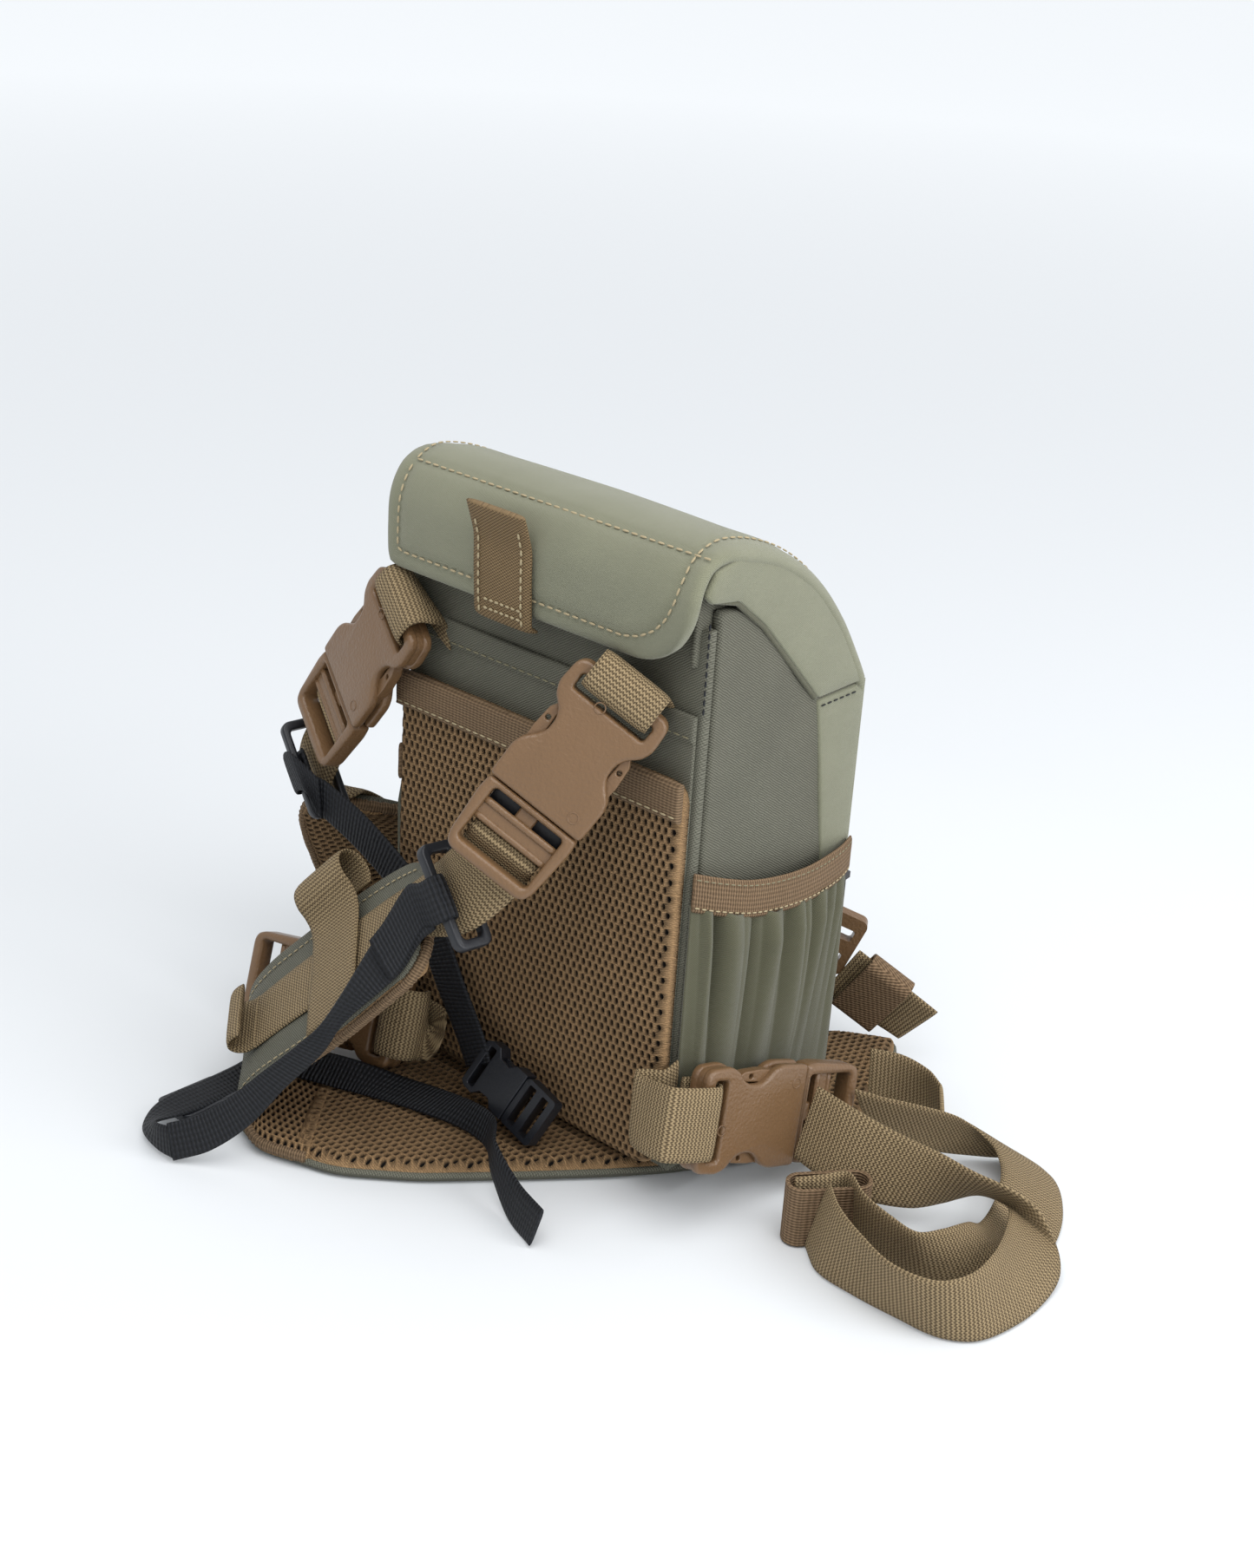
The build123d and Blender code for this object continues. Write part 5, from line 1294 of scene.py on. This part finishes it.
# ------------------------------------------------------------------ sternum strap
B1 = [((-0.6, -99.1, 110.6), (9.6, -101.2, 99.8)), ((-5.4, -101.6, 105.0), (5.4, -103.2, 94.6)), ((-10.6, -107, 92), (.5, -107.5, 82.5)), ((-20.5, -120.5, 61.5), (-11.5, -120.5, 64)), ((-27, -126, 51.5), (-19, -123, 50)),
      ((-38, -132, 38.5), (-29.5, -129.5, 35)), ((-46.5, -138, 28), (-40, -135.5, 18.5)), ((-55.5, -145, 19), (-50.5, -144, 7)), ((-63.5, -152, 15), (-61, -151.5, 1.2))]
T1 = [((-74, -100, 9.6), (-74, -88, 15)), ((-61, -94.5, 9.4), (-64, -83.5, 15)), ((-47, -89, 9.2), (-51, -78.5, 15)), ((-34, -84, 9.2), (-34, -71, 12.5)), ((-17, -79, 9.2), (-14, -68.5, 14.5)), ((1, -76, 9.2), (3.5, -71.5, 18.8)),
      ((13.5, -78, 9.2), (14.5, -75, 20)), ((26, -87.5, 8.2), (25, -85.5, 20.6)), ((39.5, -93.5, 1.2), (40.5, -90.5, 14.6)), ((55, -99.5, 1.2), (57, -96, 14.4))]
B2 = [((-92.0, -62.6, 95.4), (-101.0, -61.0, 106.4)), ((-89, -63.8, 93.0), (-92.2, -63.6, 107.2)), ((-84, -63, 92), (-84, -63, 106.5)), ((-66, -60, 82), (-62, -60, 96.2)), ((-47, -57, 66), (-36.5, -57, 76.6)),
      ((-32, -57, 43), (-18, -57, 48)), ((-20, -58.7, 28.5), (-7.5, -59, 36)), ((-13.6, -60.4, 21.2), (-1.4, -61.2, 28.6))]
RT = [((-62.5, -151.5, 14.0), (-61.5, -151.0, 1.6)), ((-68, -152.2, 13.0), (-70.5, -151.0, 1.4)), ((-71.5, -150.0, 11.5), (-80.5, -149.0, 3.2)),
      ((-71.0, -143.0, 10.0), (-84.5, -142.0, 6.5)), ((-69.5, -134.0, 9.6), (-84.0, -133.0, 9.2)), ((-69.0, -122.0, 9.4), (-83.5, -121.0, 9.2)),
      ((-68.5, -112.0, 9.4), (-82.5, -108.0, 10.0)), ((-70.0, -103.5, 9.4), (-79.0, -95.5, 13.5)), ((-67, -97.5, 9.5), (-70, -86.5, 15.2))]
ribbon("sternum_webbing_return", RT, 15, 1.4, M_BLACK, "pack", rep=("sternum_strap_tail",), step=0.9, keepw=False)
o = ribbon("sternum_webbing_right", B1, 15, 1.4, M_BLACK, None, rep=("sternum_strap_right",), step=0.9, keepw=False)
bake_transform(o)
ribbon("sternum_webbing_tail", T1, 15, 1.4, M_BLACK, "pack", rep=("sternum_strap_tail",), step=0.9, keepw=False)
o = ribbon("sternum_webbing_left", B2, 15, 1.4, M_BLACK, None, rep=("sternum_strap_left",), step=0.9, keepw=False)
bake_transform(o)

ea, eb = (np.array(k, float) for k in WEBR[-1])
pa, pb = (np.array(k, float) for k in WEBR[-2])
tt = norm((ea + eb) / 2 - (pa + pb) / 2)
xx_ = norm(eb - ea)
nn_ = np.cross(tt, xx_)
if nn_ @ np.array([0.3, -0.7, 0.6]) < 0:
    nn_ = -nn_
fold = [(ea - tt * 0.5 + nn_ * 0.2, eb - tt * 0.5 + nn_ * 0.2)] + [(ea + tt * p + nn_ * q_, eb + tt * p + nn_ * q_) for p, q_ in ((3.5, 0.6), (6.5, 2.6), (7.2, 5.6), (5.0, 8.0), (1.0, 8.6), (-2.0, 8.2))]
RING_AX = {
    "right": ((8.3, -92, 108), (-0.666706, 0.121219, 0.735397), (-0.741245, -0.004792, -0.671218)),
    "left": ((-99, -55, 104.6), (0.652821, -0.145071, -0.743491), (-0.711609, 0.219023, -0.667564)),
}
RING_AX = {k: tuple(np.array(c, float) for c in v) for k, v in RING_AX.items()}


def ring_pt(k, x, y, z):
    O, ex, ez = RING_AX[k]
    return O + ex * x + np.cross(ez, ex) * y + ez * z


for tag, ow, oh, iw, ih, hz in (("right", 36.6, 14.6, 29.8, 8.6, 1.9), ("left", 36.8, 15.6, 30.2, 10.2, 1.7)):
    V, F = outline_solid("ring_body_" + tag, [rrect(0, 0, ow, oh, 3.4, 6), rrect(0, 0, iw, ih, 1.8, 4)], -hz, hz, 0.8, M_BPL, None,
                         lambda P, k=tag: np.array([ring_pt(k, *p) for p in P]))
    mk("ring_body_" + tag, V, F, M_BPL, "ring_%s_slider" % tag, rep=("ring_" + tag,))


# the black strap is doubled round the ring's bar and tacked back on itself
def wrap(k, sgn, path):
    return [(ring_pt(k, 7.4 * sgn, y, z), ring_pt(k, -7.4 * sgn, y, z)) for y, z in path]


FR = wrap("right", 1, [(-2.9, 2.6), (-2.8, -0.6), (-4.2, -3.0), (-6.4, -3.6), (-8.6, -2.0), (-9.4, 2.4)]) + [
    (ring_pt("right", 8.6, -9.6, 8.2), ring_pt("right", -6.0, -9.6, 8.2)), (np.array([-9.0, -106.6, 96.2]), np.array([2.0, -107.6, 86.4])), (np.array([-11.2, -110.0, 90.2]), np.array([-0.6, -110.2, 80.6]))]
o = ribbon("sternum_ring_wrap_right", FR, 14.8, 1.5, M_BLACK, None, rep=("sternum_strap_right",), step=0.8)
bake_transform(o)
FL = wrap("left", 1, [(3.9, -3.2), (3.6, 0.2), (4.8, 3.0), (7.4, 3.4), (9.2, 1.6), (9.8, -3.0)]) + [
    (ring_pt("left", 10.4, 9.6, -7.6), ring_pt("left", -4.6, 9.6, -7.6)), (np.array([-84.6, -64.6, 92.6]), np.array([-86.2, -64.8, 107.2]))]
o = ribbon("sternum_ring_wrap_left", FL, 14.8, 1.5, M_BLACK, None, rep=("sternum_strap_left",), step=0.8)
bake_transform(o)
ride_arm(ribbon("arm_webbing_right_end", fold, 25, 1.7, M_WEB, None, rep=("shoulder_webbing_right",), step=0.8), BL_R)


def signed(P):
    P = np.array(P, float)
    return 0.5 * np.sum(P[:, 0] * np.roll(P[:, 1], -1) - np.roll(P[:, 0], -1) * P[:, 1])


def moulded(name, b, plates, mat, body, rep=()):
    """Joined plates, each (outer outline, holes, z0, z1, rim radius), in a buckle's own frame."""
    E_, u_, v_, n_ = BK[b]
    parts = []
    for outer, holes, z0, z1, r_ in plates:
        outer = outer if signed(outer) > 0 else outer[::-1]
        lp = [outer] + [h if signed(h) < 0 else h[::-1] for h in holes]
        parts.append(outline_solid(name, lp, z0, z1, r_, mat, body, lambda V: E_ + V[:, :1] * u_ + V[:, 1:2] * v_ + V[:, 2:3] * n_, seg=3))
    V, F = join(parts)
    return mk(name, V, F, mat, body, rep=rep, angle=50)


def bar(name, b, x, z, r, half, mat, body, flat=0.8):
    P = np.array([loc(b, x, y, z) for y in np.linspace(-half, half, 12)])
    tube(name, P, r, mat, body, N=np.tile(BK[b][3], (12, 1)), flat=flat)


FH = [(0.0, 15.2), (2.0, 17.6), (10.5, 18.25), (14.5, 16.6), (17.5, 13.0), (21.0, 11.6), (25.5, 11.8), (28.5, 14.0), (31.0, 16.6), (34.5, 17.9), (46.5, 17.6)]
FEMO = FH + [(x, -y) for x, y in FH[::-1]]
for b in BK:
    X0 = 46.85
    mb = b + "_male_half"
    fo = rounded(FEMO, 0.9, 3)
    end = [(x, y) for x, y in rounded([(0.4, 14.9), (2.2, 17.2), (10.3, 17.8), (13.0, 16.6), (13.0, -16.6), (10.3, -17.8), (2.2, -17.2), (0.4, -14.9)], 0.9, 3)]
    slot = rrect(7.0, 0, 5.6, 27.4, 1.2)
    walls = [([(33.5, s_ * 16.4), (46.2, s_ * 16.4), (46.2, s_ * 17.3), (34.5, s_ * 17.3)], [], -2.3, 2.3, 0.12) for s_ in (1, -1)]
    moulded(b + "_female_body", b, [(fo, [slot], 0.9, 4.5, 1.25), (fo, [slot], -4.5, -0.9, 1.25), (end, [slot], -1.6, 1.6, 0.15)], M_BUCK, "pack", rep=(b + "_female",))
    mo = rounded([(X0, 17.0), (X0 + 5, 17.6), (68.5, 16.4), (71.8, 15.2), (73, 12.8), (73, -12.8), (71.8, -15.2), (68.5, -16.4), (X0 + 5, -17.6), (X0, -17.0)], 0.9, 2)
    win = rrect(X0 + 12.1, 0, 19.6, 27.0, 1.6)
    tongue = [(24.0, 3.5), (24.0, -3.5), (X0 + 1.6, -3.5), (X0 + 1.6, 3.5)]
    moulded(b + "_male_body", b, [(mo, [win], -3.6, 4.0, 1.5), (tongue, [], -1.8, 1.8, 0.5),
                                  (rrect(X0 + 9.8, 0, 7.0, 28.0, 0.9), [], -0.6, 2.0, 0.6)], M_BUCK, mb, rep=(b + "_male",))
    bar(b + "_bar_upper", b, X0 + 7.2, 2.0, 1.2, 13.7, M_BUCK, mb)
    bar(b + "_bar_lower", b, X0 + 12.7, 1.7, 1.1, 13.7, M_BUCK, mb)
    E_, u_, v_, n_ = BK[b]
    # painted shade: a black plate down in the male half's window stands in for the shade deep inside it
    Sx = Plane3(loc(b, X0 + 1.4, -13.4, -3.2), u_, v_)
    pad(b + "_painted_shade_plate", Sx, 6.2, 26.8, 1.0, 0.4, M_BPL, mb, step=2.0)
    Sx = Plane3(loc(b, X0 + 1.8, -3.4, -0.2), u_, v_)
    pad(b + "_tongue_root", Sx, 5.4, 6.8, 3.6, 0.9, M_BUCK, mb, step=1.2)
    for k, (x_, y_) in enumerate(((41.5, 11.5), (9.5, -3.0))):
        c = [loc(b, x_ + 1.75 * math.cos(t_), y_ + 1.75 * math.sin(t_), 4.48) for t_ in np.linspace(0, TAU, 25)[:-1]]
        tube(b + "_gate_mark_%d" % (k + 1), c, 0.22, M_BUCK, "pack", closed=True, N=np.tile(n_, (24, 1)))

# ------------------------------------------------------------------ moulded parts and small hardware keep their CAD shapes
for b in BK:
    for part in ("_prong_a", "_prong_b"):
        node_look(b + part, M_BUCK, 0.45)
for nm in ("sternum_adjuster", "sternum_buckle_female", "sternum_buckle_male", "front_adjuster"):
    node_look(nm, M_BPL if nm != "front_adjuster" else M_BUCK, 0.4)
for nm, m_ in (("zipper_slider", M_MET), ("zipper_pull", M_BPL), ("elastic_keepers", M_ELAST), ("body_magnets", M_MAG), ("lid_magnets", M_MAG)):
    node_look(nm, m_, 0.3)

# ------------------------------------------------------------------ floor, light and camera
bpy.ops.mesh.primitive_plane_add(size=60, location=(0, 0, 0))
fl = bpy.context.object
fl.name = "floor"
m = Mat("paper", 0.9, 0.1)
m.b.inputs["Base Color"].default_value = (0.745, 0.765, 0.78, 1)
# painted light: the floor glows, more the further it lies from the pack, so the backdrop reads brighter far away
ln = m.n("ShaderNodeVectorMath")
ln.operation = "LENGTH"
m.link(m.obj(), ln.inputs[0])
painted_floor_glow = m.n("ShaderNodeMapRange")
for k_, v_ in (("From Min", 0.35), ("From Max", 2.2), ("To Min", 0.0), ("To Max", 0.34)):
    painted_floor_glow.inputs[k_].default_value = v_
m.link(ln.outputs["Value"], painted_floor_glow.inputs["Value"])
m.b.inputs["Emission Color"].default_value = (0.97, 0.99, 1.0, 1)
m.link(painted_floor_glow.outputs[0], m.b.inputs["Emission Strength"])
m.link(m.bump(m.noise(m.obj(), 90), 0.0001), m.b.inputs["Normal"])
fl.data.materials.append(m.m)
w = bpy.data.worlds.new("studio")
bpy.context.scene.world = w
w.use_nodes = True
bg = w.node_tree.nodes["Background"]
bg.inputs[0].default_value = (0.95, 0.97, 1.0, 1)
bg.inputs[1].default_value = 0.8


def area(name, loc_, to, size, power, col=(1, 1, 1)):
    l = bpy.data.lights.new(name, "AREA")
    l.shape = "RECTANGLE"
    l.size, l.size_y = size
    l.energy = power
    l.color = col
    o_ = bpy.data.objects.new(name, l)
    o_.location = loc_
    o_.rotation_euler = (Vector(to) - Vector(loc_)).to_track_quat("-Z", "Y").to_euler()
    bpy.context.scene.collection.objects.link(o_)


area("key", (0.25, -0.3, 1.1), (0, 0, 0.08), (0.9, 0.9), 7.0)
area("fill", (1.1, 0.15, 0.65), (0, 0, 0.1), (0.9, 0.9), 9.0, (0.97, 0.98, 1.0))

cam = bpy.data.cameras.new("camera")
cam.lens = 55.78
cam.sensor_width = 36
cam.sensor_fit = "AUTO"
co = bpy.data.objects.new("camera", cam)
R, U, Fw = (0.74618, 0.66301, 0.06022), (-0.31966, 0.27747, 0.90599), (-0.58397, 0.69529, -0.41899)
co.matrix_world = Matrix(((R[0], U[0], -Fw[0], 0.489847), (R[1], U[1], -Fw[1], -0.583637), (R[2], U[2], -Fw[2], 0.467785), (0, 0, 0, 1)))
bpy.context.scene.collection.objects.link(co)
bpy.context.scene.camera = co
bpy.context.scene.view_settings.view_transform = "Standard"

bpy.context.view_layer.update()
